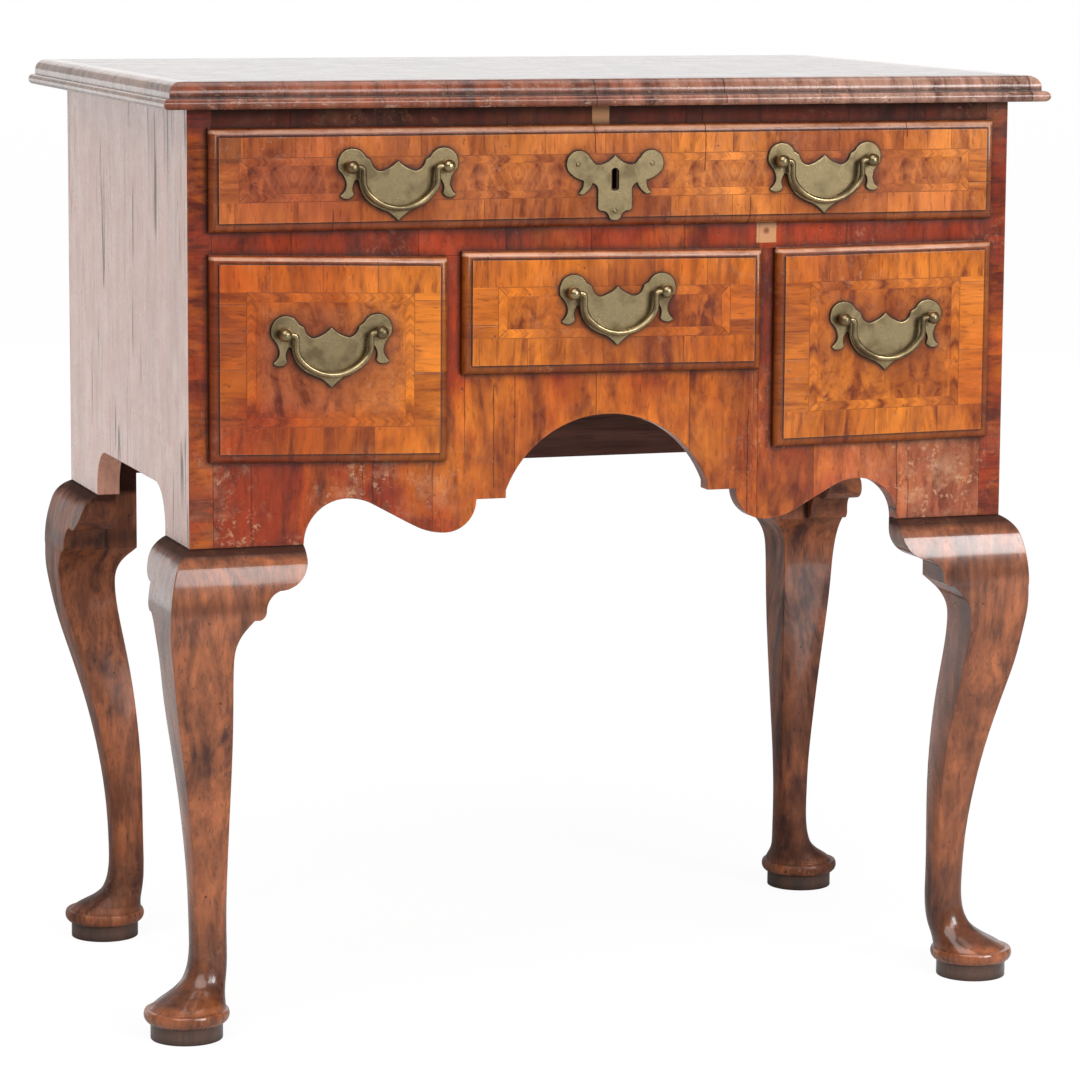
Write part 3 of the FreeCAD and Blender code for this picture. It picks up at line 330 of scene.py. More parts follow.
def grain_group():
    """Walnut: clouds of tone, a swirling figure, streaks along the grain and dark pores."""
    group, g, given = new_group(
        "Walnut grain",
        (("Position", "v"), ("Light", "c"), ("Dark", "c"), ("Figure", "f"), ("Streaks", "f"), ("Tone", "f")),
        (("Color", "c"), ("Height", "f")))
    place = given["Position"]
    cloud = g.spread(g.noise(place, 20.0, 2.0, 0.5, 0.4), 0.34, 0.68)
    swirl = g.spread(g.noise(place, 34.0, 3.0, 0.62, 2.2), 0.42, 0.66)
    streak = g.noise(place, 85.0, 4.0, 0.68, 0.5)
    pores = g.noise(place, 520.0, 2.0, 0.6)
    depth = g.times(swirl, given["Figure"])
    depth = g.times_plus(g.spread(streak, 0.36, 0.70), given["Streaks"], depth)
    curl = g.noise(g.stretch(place, (1.0, 1.0, 2.4)), 70.0, 3.0, 0.6, 1.6)
    depth = g.times_plus(g.spread(curl, 0.46, 0.68), g.times(given["Figure"], 0.6), depth)
    depth = g.times_plus(cloud, 0.32, depth)
    depth = g.plus(depth, given["Tone"])
    base = g.mix(g.times(depth, 0.80, clamp=True), given["Light"], given["Dark"])
    flecks = g.times(g.spread(pores, 0.58, 0.70), 0.55, clamp=True)
    height = g.times_plus(g.spread(pores, 0.5, 0.72), -0.6, g.times(streak, 0.4))
    close_group(g, {"Color": g.mix(flecks, base, given["Dark"]), "Height": height})
    return group


def front_place_group():
    """Distances from the edges of a drawer's front, which may hang lower at one end."""
    group, g, given = new_group(
        "Place on a drawer's front",
        (("Position", "v"), ("Centre X", "f"), ("Centre Z", "f"), ("Half width", "f"), ("Half height", "f"),
         ("Slope", "f")),
        (("From end", "f"), ("From rail", "f"), ("Edge", "f"), ("Right", "f"), ("Up", "f")))
    x, _, z = g.parts(given["Position"])
    right = g.minus(x, given["Centre X"])
    up = g.minus(g.minus(z, given["Centre Z"]), g.times(right, given["Slope"]))
    from_end = g.minus(given["Half width"], g.size_of(right))
    from_rail = g.minus(given["Half height"], g.size_of(up))
    close_group(g, {"From end": from_end, "From rail": from_rail,
                    "Edge": g.math("MINIMUM", from_end, from_rail), "Right": right, "Up": up})
    return group


def band_group():
    """A smooth-edged band of a value between two limits."""
    group, g, given = new_group("Band", (("Value", "f"), ("Low", "f"), ("High", "f"), ("Blur", "f")),
                                (("Mask", "f"),))
    rise = g.over(g.minus(given["Value"], given["Low"]), given["Blur"], clamp=True)
    fall = g.over(g.minus(given["High"], given["Value"]), given["Blur"], clamp=True)
    close_group(g, {"Mask": g.times(rise, fall)})
    return group


def stain_group():
    """A soft oval stain round a point of the front."""
    group, g, given = new_group(
        "Oval stain",
        (("Position", "v"), ("X", "f"), ("Z", "f"), ("Half width", "f"), ("Half height", "f")),
        (("Mask", "f"),))
    x, _, z = g.parts(given["Position"])
    across = g.over(g.minus(x, given["X"]), given["Half width"])
    up = g.over(g.minus(z, given["Z"]), given["Half height"])
    reach = g.math("SQRT", g.plus(g.times(across, across), g.times(up, up)))
    wobble = g.noise(given["Position"], 60.0, 3.0)
    reach = g.times_plus(g.minus(wobble, 0.5), 0.7, reach)
    close_group(g, {"Mask": g.over(g.minus(1.15, reach), 0.75, clamp=True)})
    return group


def patch_group():
    """An upright rectangular patch of the front."""
    group, g, given = new_group(
        "Patch", (("Position", "v"), ("X low", "f"), ("X high", "f"), ("Z low", "f"), ("Z high", "f")),
        (("Mask", "f"),))
    x, _, z = g.parts(given["Position"])
    inside = g.times(g.above(x, given["X low"]), g.below(x, given["X high"]))
    inside = g.times(inside, g.above(z, given["Z low"]))
    close_group(g, {"Mask": g.times(inside, g.below(z, given["Z high"]))})
    return group


def crack_group():
    """An upright shrinkage crack that wanders a little."""
    group, g, given = new_group(
        "Crack", (("Position", "v"), ("At", "f"), ("Low", "f"), ("High", "f"), ("Width", "f")),
        (("Mask", "f"),))
    x, _, z = g.parts(given["Position"])
    sway = g.minus(g.noise(given["Position"], 45.0, 3.0), 0.5)
    off = g.minus(g.times_plus(sway, 0.004, x), given["At"])
    thin = g.minus(1.0, g.over(g.size_of(off), given["Width"]), clamp=True)
    inside = g.times(g.above(z, given["Low"]), g.below(z, given["High"]))
    close_group(g, {"Mask": g.times(thin, inside)})
    return group


def pieces_group():
    """Cuts a length into uneven pieces: each has a number of its own and a thin seam."""
    group, g, given = new_group("Pieces of veneer", (("Run", "f"), ("Length", "f"), ("Seed", "f")),
                                (("Number", "f"), ("Tone", "f"), ("Seam", "f")))
    uneven = g.noise(g.join(given["Run"], given["Seed"], 0.0), 8.0, 0.0)
    steps = g.times_plus(uneven, 1.3, g.over(given["Run"], given["Length"]))
    number = g.math("FLOOR", g.plus(steps, 0.5))
    gap = g.size_of(g.minus(g.math("FRACT", steps), 0.5))
    gap = g.times(gap, given["Length"])
    tone = g.chance(g.times_plus(given["Seed"], 17.0, number))
    close_group(g, {"Number": number, "Tone": tone, "Seam": g.spread(gap, 0.0005, 0.0002)})
    return group


def wear_group():
    """Old polish: painted shade in the corners, which also stands for dirt there, rubbed edges, pale flecks
    and dark knocks.
    """
    group, g, given = new_group(
        "Old polish",
        (("Position", "v"), ("Color", "c"), ("Worn", "c"), ("Grime and shade", "c"), ("Rubbing", "f"), ("Knocks", "f"),
         ("Dirt and shade", "f")),
        (("Color", "c"), ("Roughness", "f"), ("Height", "f")))
    place = given["Position"]
    where = g.spread(g.noise(place, 14.0, 3.0, 0.6), 0.46, 0.66)
    fine = g.spread(g.noise(place, 150.0, 6.0, 0.78), 0.555, 0.60)
    pale_share = g.spread(g.noise(place, 42.0, 5.0, 0.72), 0.50, 0.66, 0.0, 0.60)
    rubbed = g.times(where, g.most(fine, pale_share))
    rubbed = g.times(rubbed, given["Rubbing"], clamp=True)
    dents = g.node("TexVoronoi", {"Vector": place, "Scale": 120.0, "Randomness": 1.0}).outputs[0]
    dents = g.times(g.spread(dents, 0.16, 0.06), g.spread(g.noise(place, 60.0, 1.0), 0.58, 0.62))
    dents = g.times(dents, given["Knocks"], clamp=True)
    # the edges are rubbed through to paler wood; corners and the wood beside raised pieces get painted shade,
    # also standing for dirt
    edge = g.times(g.spread(g.flatness(0.0016), 0.995, 0.90), g.spread(fine, 0.0, 1.0, 0.35, 1.0))
    edge = g.times(edge, g.spread(g.noise(place, 30.0, 2.0), 0.36, 0.62), clamp=True)
    dirt_and_shade = g.times(g.spread(g.openness(), 0.97, 0.50), given["Dirt and shade"], clamp=True)
    made = g.mix(g.times(g.most(rubbed, edge), 0.62), given["Color"], given["Worn"])
    made = g.mix(g.most(dirt_and_shade, g.times(dents, 0.85)), made, given["Grime and shade"])
    cloud = g.noise(place, 34.0, 4.0)
    rough = g.times_plus(rubbed, 0.22, g.spread(cloud, 0.3, 0.7, 0.20, 0.36))
    height = g.minus(g.times(cloud, 0.6), g.plus(rubbed, dents))
    close_group(g, {"Color": made, "Roughness": rough, "Height": height})
    return group


def metal_group():
    """Old metal: bright where it is rubbed, tarnished in soft patches and in the corners."""
    group, g, given = new_group("Old metal", (("Position", "v"), ("Bright", "c"), ("Tarnish", "c")),
                                (("Color", "c"), ("Roughness", "f"), ("Height", "f")))
    cloud = g.noise(given["Position"], 55.0, 3.0, 0.55, 0.3)
    speck = g.noise(given["Position"], 600.0, 2.0)
    dull = g.times_plus(g.spread(speck, 0.55, 0.7), 0.15, g.spread(cloud, 0.38, 0.64, 0.0, 0.85))
    dull = g.plus(dull, g.spread(g.openness(), 0.80, 0.30), clamp=True)
    # the edges are kept bright by rubbing
    dull = g.times(dull, g.spread(g.flatness(0.0010), 0.90, 0.995, 0.35, 1.0))
    close_group(g, {"Color": g.mix(dull, given["Bright"], given["Tarnish"]),
                    "Roughness": g.spread(dull, 0.0, 1.0, 0.25, 0.42),
                    "Height": g.times_plus(speck, 0.3, cloud)})
    return group


GROUPS = {
    "grain": grain_group,
    "front place": front_place_group,
    "band": band_group,
    "stain": stain_group,
    "patch": patch_group,
    "crack": crack_group,
    "pieces": pieces_group,
    "wear": wear_group,
    "metal": metal_group,
}
made_groups = {}


def shared(name):
    """A node group, built the first time that it is asked for."""
    if name not in made_groups:
        made_groups[name] = GROUPS[name]()
    return made_groups[name]


class Finish:
    """A material in the making: a Principled shader with colour, roughness and bump."""

    def __init__(self, name):
        self.material = bpy.data.materials.new(name)
        self.material.use_nodes = True
        self.material.node_tree.nodes.clear()
        self.graph = Graph(self.material.node_tree)
        self.shader = self.graph.node("BsdfPrincipled")
        self.graph.node("OutputMaterial", {0: self.shader.outputs[0]})
        self.position = self.graph.node("TexCoord").outputs["Object"]
        self.x, self.y, self.z = self.graph.parts(self.position)

    def grain(self, position, light, dark, figure, streaks, tone=0.0):
        return self.graph.use(shared("grain"), {
            "Position": position, "Light": light, "Dark": dark, "Figure": figure, "Streaks": streaks,
            "Tone": tone})

    def band(self, value, low, high, blur=0.0003):
        return self.graph.use(shared("band"), {"Value": value, "Low": low, "High": high, "Blur": blur})[0]

    def pieces(self, run, length_of_piece, seed):
        """Number, tone and seam of the piece of veneer at a point of a run."""
        made = self.graph.use(shared("pieces"), {"Run": run, "Length": length_of_piece, "Seed": seed})
        return made["Number"], made["Tone"], made["Seam"]

    def patch(self, x_low, x_high, z_low, z_high):
        return self.graph.use(shared("patch"), {"Position": self.position, "X low": x_low, "X high": x_high,
                                                "Z low": z_low, "Z high": z_high})[0]

    def cracks(self, places):
        """Cracks given by where they stand, their lower and upper ends and their widths."""
        return self.graph.most(*[
            self.graph.use(shared("crack"), {"Position": self.position, "At": at, "Low": low, "High": high,
                                             "Width": width})[0]
            for at, low, high, width in places])

    def stain(self, x, z, half_width, half_height):
        return self.graph.use(shared("stain"), {"Position": self.position, "X": x, "Z": z,
                                                "Half width": half_width, "Half height": half_height})[0]

    def done(self, surface, height, depth, rubbing, knocks, worn, coat, rough=0.0, dirt_and_shade=0.8,
             coat_rough=0.10):
        """Lays old polish over a surface's colour and its height, and hands back the material; depth is
        how deep the height goes."""
        g = self.graph
        # the caller sets how dark the painted shade in the corners is, which also stands for dirt there
        polish = g.use(shared("wear"), {"Position": self.position, "Color": surface, "Worn": worn,
                                        "Grime and shade": settings().lowboy_veneer.grime_and_shade, "Rubbing": rubbing,
                                        "Knocks": knocks, "Dirt and shade": dirt_and_shade})
        bump = g.node("Bump", {"Height": g.plus(height, polish["Height"]), "Strength": 0.6,
                               "Distance": depth})
        roughness = g.plus(polish["Roughness"], rough) if rough else polish["Roughness"]
        g.feed(self.shader, {"Base Color": polish["Color"], "Roughness": roughness,
                             "Normal": bump.outputs[0], "Coat Weight": coat, "Coat Roughness": coat_rough,
                             "Coat IOR": 1.5, "Specular IOR Level": 0.30})
        return self.material


# ---------------------------------------------------------------- finishes

def front_shape(drawer):
    """Centre, half width, half height and slope of a drawer's front, read from its own mesh."""
    low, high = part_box(drawer + "_front")
    corners = [vertex.co for vertex in frame["nodes"][drawer + "_front"].data.vertices]
    near = 0.020
    left = max((corner for corner in corners if corner.x < low.x + near), key=lambda corner: corner.z)
    right = max((corner for corner in corners if corner.x > high.x - near), key=lambda corner: corner.z)
    slope = (right.z - left.z) / (right.x - left.x)
    half_width = (high.x - low.x) / 2
    half_height = (high.z - low.z) / 2 - abs(slope) * half_width
    return (low.x + high.x) / 2, (low.z + high.z) / 2, half_width, half_height, slope


class FrontPlan:
    """A drawer front's lip and bands, which follow its edges even where it hangs out of square."""

    def __init__(self, finish, drawer):
        veneer = settings().lowboy_veneer
        is_long = drawer == "long_drawer"
        centre_x, centre_z, self.half_width, half_height, slope = front_shape(drawer)
        g = finish.graph
        self.from_end, self.from_rail, self.edge, self.right, self.up = g.use(shared("front place"), {
            "Position": finish.position, "Centre X": centre_x, "Centre Z": centre_z,
            "Half width": self.half_width, "Half height": half_height, "Slope": slope})
        # inner limits of the lip and of each band, from the front's edge
        self.lip = veneer.lip_width
        self.cross = self.lip + (veneer.long_cross_band if is_long else veneer.cross_band)
        self.feather = self.cross + (veneer.long_feather_band if is_long else veneer.feather_band)
        self.in_cross = finish.band(self.edge, -1.0, self.cross)
        self.in_feather = finish.band(self.edge, self.cross, self.feather)
        self.leaf = veneer.long_leaf if is_long else self.half_width
        self.seed = DRAWERS.index(drawer) + 0.5


# red_left and red_right say how red a drawer's veneer is at its ends, pale how faded it is, pale_field how
# much more its field is faded, and stained how dark the stains round its brasses are
DrawerTone = namedtuple("DrawerTone", "red_left red_right pale pale_field stained")
DRAWER_TONES = {
    "long_drawer": DrawerTone(0.50, 0.10, 0.14, 0.06, 0.55),
    "left_drawer": DrawerTone(0.78, 0.00, 0.00, 0.20, 0.50),
    "centre_drawer": DrawerTone(0.20, 0.26, 0.00, 0.04, 0.60),
    "right_drawer": DrawerTone(0.12, 0.20, 0.02, 0.04, 0.70),
}


def banded_grain(finish, plan):
    """Where to take the grain from in each band, and the tone and seam of each piece of the cross-band."""
    g = finish.graph
    piece_length = 0.047
    # the end pieces of the cross-band stand between the pieces along the rails
    on_end = g.above(plan.from_rail, plan.cross)
    on_rail = g.minus(1.0, on_end)
    run = g.plus(g.times(on_end, plan.up), g.times(plan.right, on_rail))
    quarter = g.plus(g.times(on_end, g.math("SIGN", plan.right)),
                     g.times(g.minus(4.0, g.math("SIGN", plan.up)), on_rail))
    number, tone, seam = finish.pieces(run, piece_length, g.plus(quarter, plan.seed * 9.0))
    # the grain runs out from the middle in the cross-band and slants in the feather
    drawn_out = 0.16
    shift = g.times(number, 0.31)
    cross_end = g.join(g.times(plan.right, drawn_out), shift, plan.up)
    cross_rail = g.join(plan.right, shift, g.times(plan.up, drawn_out))
    off_middle = g.size_of(g.minus(plan.edge, (plan.cross + plan.feather) / 2))
    by_end = g.below(plan.from_end, plan.from_rail)
    along = g.plus(g.times(by_end, plan.up), g.times(g.minus(1.0, by_end), plan.right))
    feather = g.join(g.plus(along, off_middle), plan.seed, g.times(plan.edge, 0.2))
    leaves = g.math("PINGPONG", g.plus(plan.right, 0.5), plan.leaf)
    field = g.join(leaves, plan.seed, g.times(plan.up, 0.45))
    place = g.mix_vector(plan.in_cross, field, g.mix_vector(on_end, cross_rail, cross_end))
    return g.mix_vector(plan.in_feather, place, feather), tone, seam


def drawer_wood(finish, plan, tones, place, piece_tone):
    """The veneer's wood: redder towards one end, paler where the light has faded it."""
    veneer = settings().lowboy_veneer
    g = finish.graph
    redness = g.spread(plan.right, -plan.half_width, plan.half_width, tones.red_left, tones.red_right)
    clouds = g.spread(g.noise(finish.position, 12.0, 2.0), 0.34, 0.68, -0.25, 0.35)
    redness = g.plus(redness, clouds, clamp=True)
    pale_share = g.spread(plan.edge, plan.feather, plan.feather + 0.010, tones.pale, tones.pale + tones.pale_field)
    light = g.mix(pale_share, g.mix(redness, veneer.light, veneer.red), veneer.worn)
    dark = g.mix(redness, veneer.dark, veneer.red_dark)
    tone = g.times(g.spread(piece_tone, 0.0, 1.0, -0.26, 0.16), plan.in_cross)
    tone = g.times_plus(plan.in_feather, -0.18, g.plus(tone, 0.16))
    return finish.grain(place, light, dark, figure=g.times_plus(plan.in_cross, -0.10, 0.62),
                        streaks=g.times_plus(plan.in_cross, -0.12, 0.36), tone=tone)


def band_lines(finish, plan, seam):
    """Thin dark lines where the bands meet, at the mitres of the feather and between the pieces."""
    g = finish.graph
    mitre = g.size_of(g.minus(plan.from_end, plan.from_rail))
    return g.most(
        g.times(finish.band(plan.edge, plan.cross - 0.0003, plan.cross + 0.0003, 0.0002), 0.8),
        g.times(finish.band(plan.edge, plan.feather - 0.0002, plan.feather + 0.0002, 0.0002), 0.6),
        g.times(g.spread(mitre, 0.0006, 0.0002), plan.in_feather),
        g.times(g.times(seam, plan.in_cross), 0.7))


def handle_stains(finish, drawer, surface, stained):
    """Dark stains round the brass plates of one drawer, a little below their middles."""
    veneer = settings().lowboy_veneer
    g = finish.graph
    reach, drop = 0.016, 0.002
    for node in frame["nodes"]:
        if ("backplate" in node or node == "escutcheon") and owner(node) == drawer:
            low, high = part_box(node)
            stain = finish.stain((low.x + high.x) / 2, (low.z + high.z) / 2 - drop,
                                 (high.x - low.x) / 2 + reach, (high.z - low.z) / 2 + reach)
            surface = g.mix(g.times(stain, stained), surface, veneer.dark)
    return surface


def painted_lip_highlight(finish, plan, surface):
    """Painted highlight: paler colour along the upper lip, standing in for the light on its rounded top edge.
    """
    g = finish.graph
    upper = finish.band(plan.from_rail, 0.0008, plan.lip - 0.0022, 0.0012)
    upper = g.times(g.above(plan.up, 0.0), upper)
    patchy = g.spread(g.noise(finish.position, 30.0, 4.0, 0.7), 0.34, 0.60, 0.35, 0.90)
    return g.mix(g.times(upper, patchy), surface, settings().lowboy_veneer.lip)


def long_drawer_marks(finish, plan, surface, height):
    """The long drawer's upright cracks and the dark block let into its upper left corner."""
    veneer = settings().lowboy_veneer
    g = finish.graph
    low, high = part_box("long_drawer_front")
    left, top = low.x + plan.lip, high.z - plan.lip
    block_width, block_height = 0.0165, 0.0180
    block = finish.patch(left, left + block_width, top - block_height, top)
    surface = g.mix(g.times(block, 0.55), surface, veneer.block)
    cracked = finish.cracks(((-0.0150, high.z - 0.0210, high.z, 0.00055),
                             (0.0720, high.z - 0.0350, high.z, 0.00050),
                             (0.1080, low.z, low.z + 0.0200, 0.00045),
                             (0.2350, high.z - 0.0120, high.z, 0.00040),
                             (-0.2160, low.z, low.z + 0.0150, 0.00040)))
    return g.mix(cracked, surface, veneer.grime_and_shade), g.times_plus(cracked, -3.0, height)


def drawer_finish(drawer):
    """Veneer of a drawer's front: rounded lip, butted cross-band, mitred feather band, figured field."""
    veneer = settings().lowboy_veneer
    walnut = settings().lowboy_walnut
    tones = DRAWER_TONES[drawer]
    finish = Finish(drawer + " veneer")
    g = finish.graph
    plan = FrontPlan(finish, drawer)
    place, piece_tone, seam = banded_grain(finish, plan)
    wood = drawer_wood(finish, plan, tones, place, piece_tone)
    lines = band_lines(finish, plan, seam)
    surface = g.mix(g.times(lines, 0.55), wood["Color"], veneer.grime_and_shade)
    # painted shade: the lip is darker than the field all round, and a dark line lies in the step at its foot
    on_lip = g.times(g.spread(plan.edge, plan.lip + 0.0002, plan.lip - 0.0004), 0.62)
    surface = g.mix(on_lip, surface, veneer.red_dark)
    gutter = finish.band(plan.edge, plan.lip - 0.0009, plan.lip + 0.0003, 0.0005)
    surface = g.mix(g.times(gutter, 0.30), surface, veneer.grime_and_shade)
    surface = handle_stains(finish, drawer, surface, tones.stained)
    # a painted highlight along the upper lip
    surface = painted_lip_highlight(finish, plan, surface)
    height = g.minus(g.times(wood["Height"], 0.35), g.times(lines, 1.2))
    if drawer == "long_drawer":
        surface, height = long_drawer_marks(finish, plan, surface, height)
    # the inner face of the front is plain wood
    back_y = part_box(drawer + "_front")[1].y
    inside = g.spread(finish.y, back_y - 0.0004, back_y - 0.0002)
    oak = finish.grain(g.stretch(finish.position, ALONG_X), walnut.oak, walnut.oak_dark, figure=0.4,
                       streaks=0.8)
    surface = g.mix(inside, surface, oak["Color"])
    return finish.done(surface, height, depth=0.00025, rubbing=0.30, knocks=0.7, worn=veneer.worn, coat=0.24,
                       dirt_and_shade=2.3)


def front_wood(finish, piece_tone, place):
    """The front's wood: reddest in the rails and uprights, golden in the apron's middle, tan to its right."""
    veneer = settings().lowboy_veneer
    g = finish.graph
    apron_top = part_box("front_apron")[1].z
    # it reddens upwards from the apron's arch, outwards from the middle, and most at the left end
    redness = g.spread(finish.z, 0.455, 0.520, 0.32, 0.92)
    redness = g.plus(redness, g.spread(g.size_of(finish.x), 0.06, 0.20, 0.0, 0.55))
    redness = g.plus(redness, g.spread(finish.x, -0.30, -0.08, 0.40, 0.0))
    clouds = g.spread(g.noise(finish.position, 15.0, 4.0, 0.62), 0.34, 0.66, -0.42, 0.42)
    redness = g.plus(redness, clouds, clamp=True)
    pale = g.times(g.spread(finish.x, 0.12, 0.26, 0.0, 0.30), g.below(finish.z, apron_top))
    light = g.mix(pale, g.mix(redness, veneer.light, veneer.red), veneer.worn)
    dark = g.mix(redness, veneer.dark, veneer.red_dark)
    tone = g.plus(g.spread(piece_tone, 0.0, 1.0, -0.16, 0.22), g.spread(finish.x, -0.05, -0.20, 0.0, 0.18))
    return finish.grain(place, light, dark, figure=0.55, streaks=0.38, tone=tone)


def front_cracks(finish):
    """Shrinkage cracks of the frieze rail and the apron."""
    frieze_low, frieze_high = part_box("frieze_rail")
    apron_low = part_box("front_apron")[0]
    return finish.cracks(((-0.0150, frieze_low.z, frieze_high.z, 0.0006),
                          (0.0720, frieze_low.z, frieze_high.z, 0.0005),
                          (-0.1830, apron_low.z, 0.434, 0.0005),
                          (-0.0900, 0.408, 0.485, 0.0005),
                          (0.1120, apron_low.z, 0.460, 0.0005),
                          (0.2350, apron_low.z, 0.430, 0.0005)))


def front_finish():
    """Red cross-grained veneer of the rails, the uprights and the apron."""
    veneer = settings().lowboy_veneer
    finish = Finish("Case front veneer")
    g = finish.graph
    piece_length = 0.064
    rail_low, rail_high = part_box("middle_rail")
    frieze_low, frieze_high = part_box("frieze_rail")
    on_rails = g.above(finish.z, rail_low.z)
    number, tone, seam = finish.pieces(finish.x, piece_length, g.times(on_rails, 3.7))
    place = g.join(finish.x, g.times_plus(number, 0.37, finish.y), g.times(finish.z, 0.20))
    wood = front_wood(finish, tone, place)
    # painted shade under the top's overhang, darkest at the top of the frieze, and a dark patch at the top of
    # the middle rail
    under_top = frieze_low.z - 0.004
    dirt_and_shade = g.spread(finish.z, under_top, frieze_high.z, 0.30, 0.90)
    dirt_and_shade = g.times(dirt_and_shade, g.above(finish.z, under_top))
    dark_patch_on_rail = finish.stain(-0.085, rail_high.z, 0.045, 0.020)
    dirt_and_shade = g.most(dirt_and_shade, g.times(dark_patch_on_rail, 0.6))
    surface = g.mix(dirt_and_shade, wood["Color"], veneer.grime_and_shade)
    surface = g.mix(g.times(seam, 0.5), surface, veneer.grime_and_shade)
    # a pale patch let into each rail, the lower one with a knot
    let_in = g.most(finish.patch(-0.0148, -0.0012, frieze_low.z + 0.001, frieze_high.z + 0.001),
                    finish.patch(0.1170, 0.1330, rail_low.z + 0.005, rail_high.z - 0.002))
    surface = g.mix(g.times(let_in, 0.85), surface, veneer.patch)
    knot = finish.stain(0.1250, rail_low.z + 0.014, 0.0030, 0.0030)
    surface = g.mix(g.times(knot, 0.8), surface, veneer.dark)
    cracked = front_cracks(finish)
    surface = g.mix(cracked, surface, veneer.grime_and_shade)
    # the lower corners of the apron are the most rubbed
    outer = g.spread(g.size_of(finish.x), 0.08, 0.24, 0.10, 1.6)
    rubbed = g.times(outer, g.spread(finish.z, 0.50, 0.43, 0.45, 1.0))
    height = g.times_plus(g.most(cracked, seam), -2.0, g.times(wood["Height"], 0.35))
    # the frieze has lost its polish
    on_frieze = g.spread(finish.z, frieze_low.z - 0.001, frieze_low.z)
    coat = g.spread(on_frieze, 0.0, 1.0, 0.24, 0.0)
    dull = g.times(on_frieze, 0.35)
    return finish.done(surface, height, depth=0.00025, rubbing=rubbed, knocks=0.8, worn=veneer.worn,
                       coat=coat, rough=dull)


def side_cracks(finish):
    """Dark upright shrinkage cracks, with fine hairs between them."""
    g = finish.graph
    threads = g.noise(g.stretch(finish.position, (1.0, 1.0, 0.05)), 120.0, 2.0, 0.5, 0.2)
    where = g.noise(g.stretch(finish.position, (1.0, 1.0, 0.30)), 22.0, 1.0)
    threads = g.times(g.spread(threads, 0.615, 0.645), g.spread(where, 0.50, 0.56))
    hairs = g.noise(g.stretch(finish.position, (1.0, 1.0, 0.04)), 330.0, 2.0, 0.5)
    near = g.noise(g.stretch(finish.position, (1.0, 1.0, 0.22)), 34.0, 1.0)
    hairs = g.times(g.spread(hairs, 0.60, 0.68, 0.0, 0.55), g.spread(near, 0.48, 0.60))
    return g.most(threads, hairs)


def stile_wood(finish):
    """Red cross-grained veneer on the front edge of a side."""
    veneer = settings().lowboy_veneer
    g = finish.graph
    piece_length = 0.085
    number, tone, seam = finish.pieces(finish.z, piece_length, 8.0)
    place = g.join(g.times(finish.x, 0.3), number, finish.z)
    clouds = g.spread(g.noise(finish.position, 17.0, 4.0, 0.62), 0.34, 0.60, 0.40, 1.0)
    tone = g.plus(g.spread(finish.z, 0.50, 0.58, 0.0, 0.35), g.spread(tone, 0.0, 1.0, -0.10, 0.35))
    wood = finish.grain(place, g.mix(clouds, veneer.light, veneer.red), veneer.red_dark, figure=0.5,
                        streaks=0.45, tone=tone)
    return g.mix(g.times(seam, 0.5), wood["Color"], veneer.grime_and_shade)


def side_finish():
    """Faded upright walnut of the sides, with dark shrinkage cracks; its front edge is red veneer."""
    walnut = settings().lowboy_walnut
    veneer = settings().lowboy_veneer
    finish = Finish("Case side walnut")
    g = finish.graph
    board_width = 0.090
    number, tone, _ = finish.pieces(finish.y, board_width, 5.0)
    place = g.join(g.times_plus(number, 0.21, finish.x), finish.y, g.times(finish.z, 0.09))
    wood = finish.grain(place, walnut.side, walnut.side_dark, figure=0.30, streaks=0.62,
                        tone=g.spread(tone, 0.0, 1.0, -0.25, 0.15))
    cracked = side_cracks(finish)
    surface = g.mix(g.times(cracked, 0.85), wood["Color"], veneer.grime_and_shade)
    front_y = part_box("side_left")[0].y
    on_front = g.spread(finish.y, front_y + 0.0012, front_y + 0.0006)
    surface = g.mix(on_front, surface, stile_wood(finish))
    height = g.times_plus(cracked, -2.5, g.times(wood["Height"], 0.5))
    coat = g.times(g.spread(on_front, 0.0, 1.0, 0.65, 0.24), g.times_plus(cracked, -0.5, 1.0))
    return finish.done(surface, height, depth=0.0003, rubbing=0.45, knocks=0.6, worn=veneer.worn, coat=coat,
                       rough=g.times(cracked, 0.12))


def top_finish():
    """Faded figured veneer of the top, laid in mirrored leaves."""
    veneer = settings().lowboy_veneer
    finish = Finish("Top veneer")
    g = finish.graph
    leaf = g.math("FLOOR", g.over(finish.x, veneer.top_leaf))
    place = g.join(g.math("PINGPONG", finish.x, veneer.top_leaf), g.times(finish.y, 0.35), leaf)
    wood = finish.grain(place, veneer.top, veneer.top_dark, figure=0.8, streaks=0.4)
    return finish.done(wood["Color"], g.times(wood["Height"], 0.3), depth=0.00015, rubbing=0.3, knocks=0.4,
                       worn=veneer.worn, coat=1.0, coat_rough=0.14)


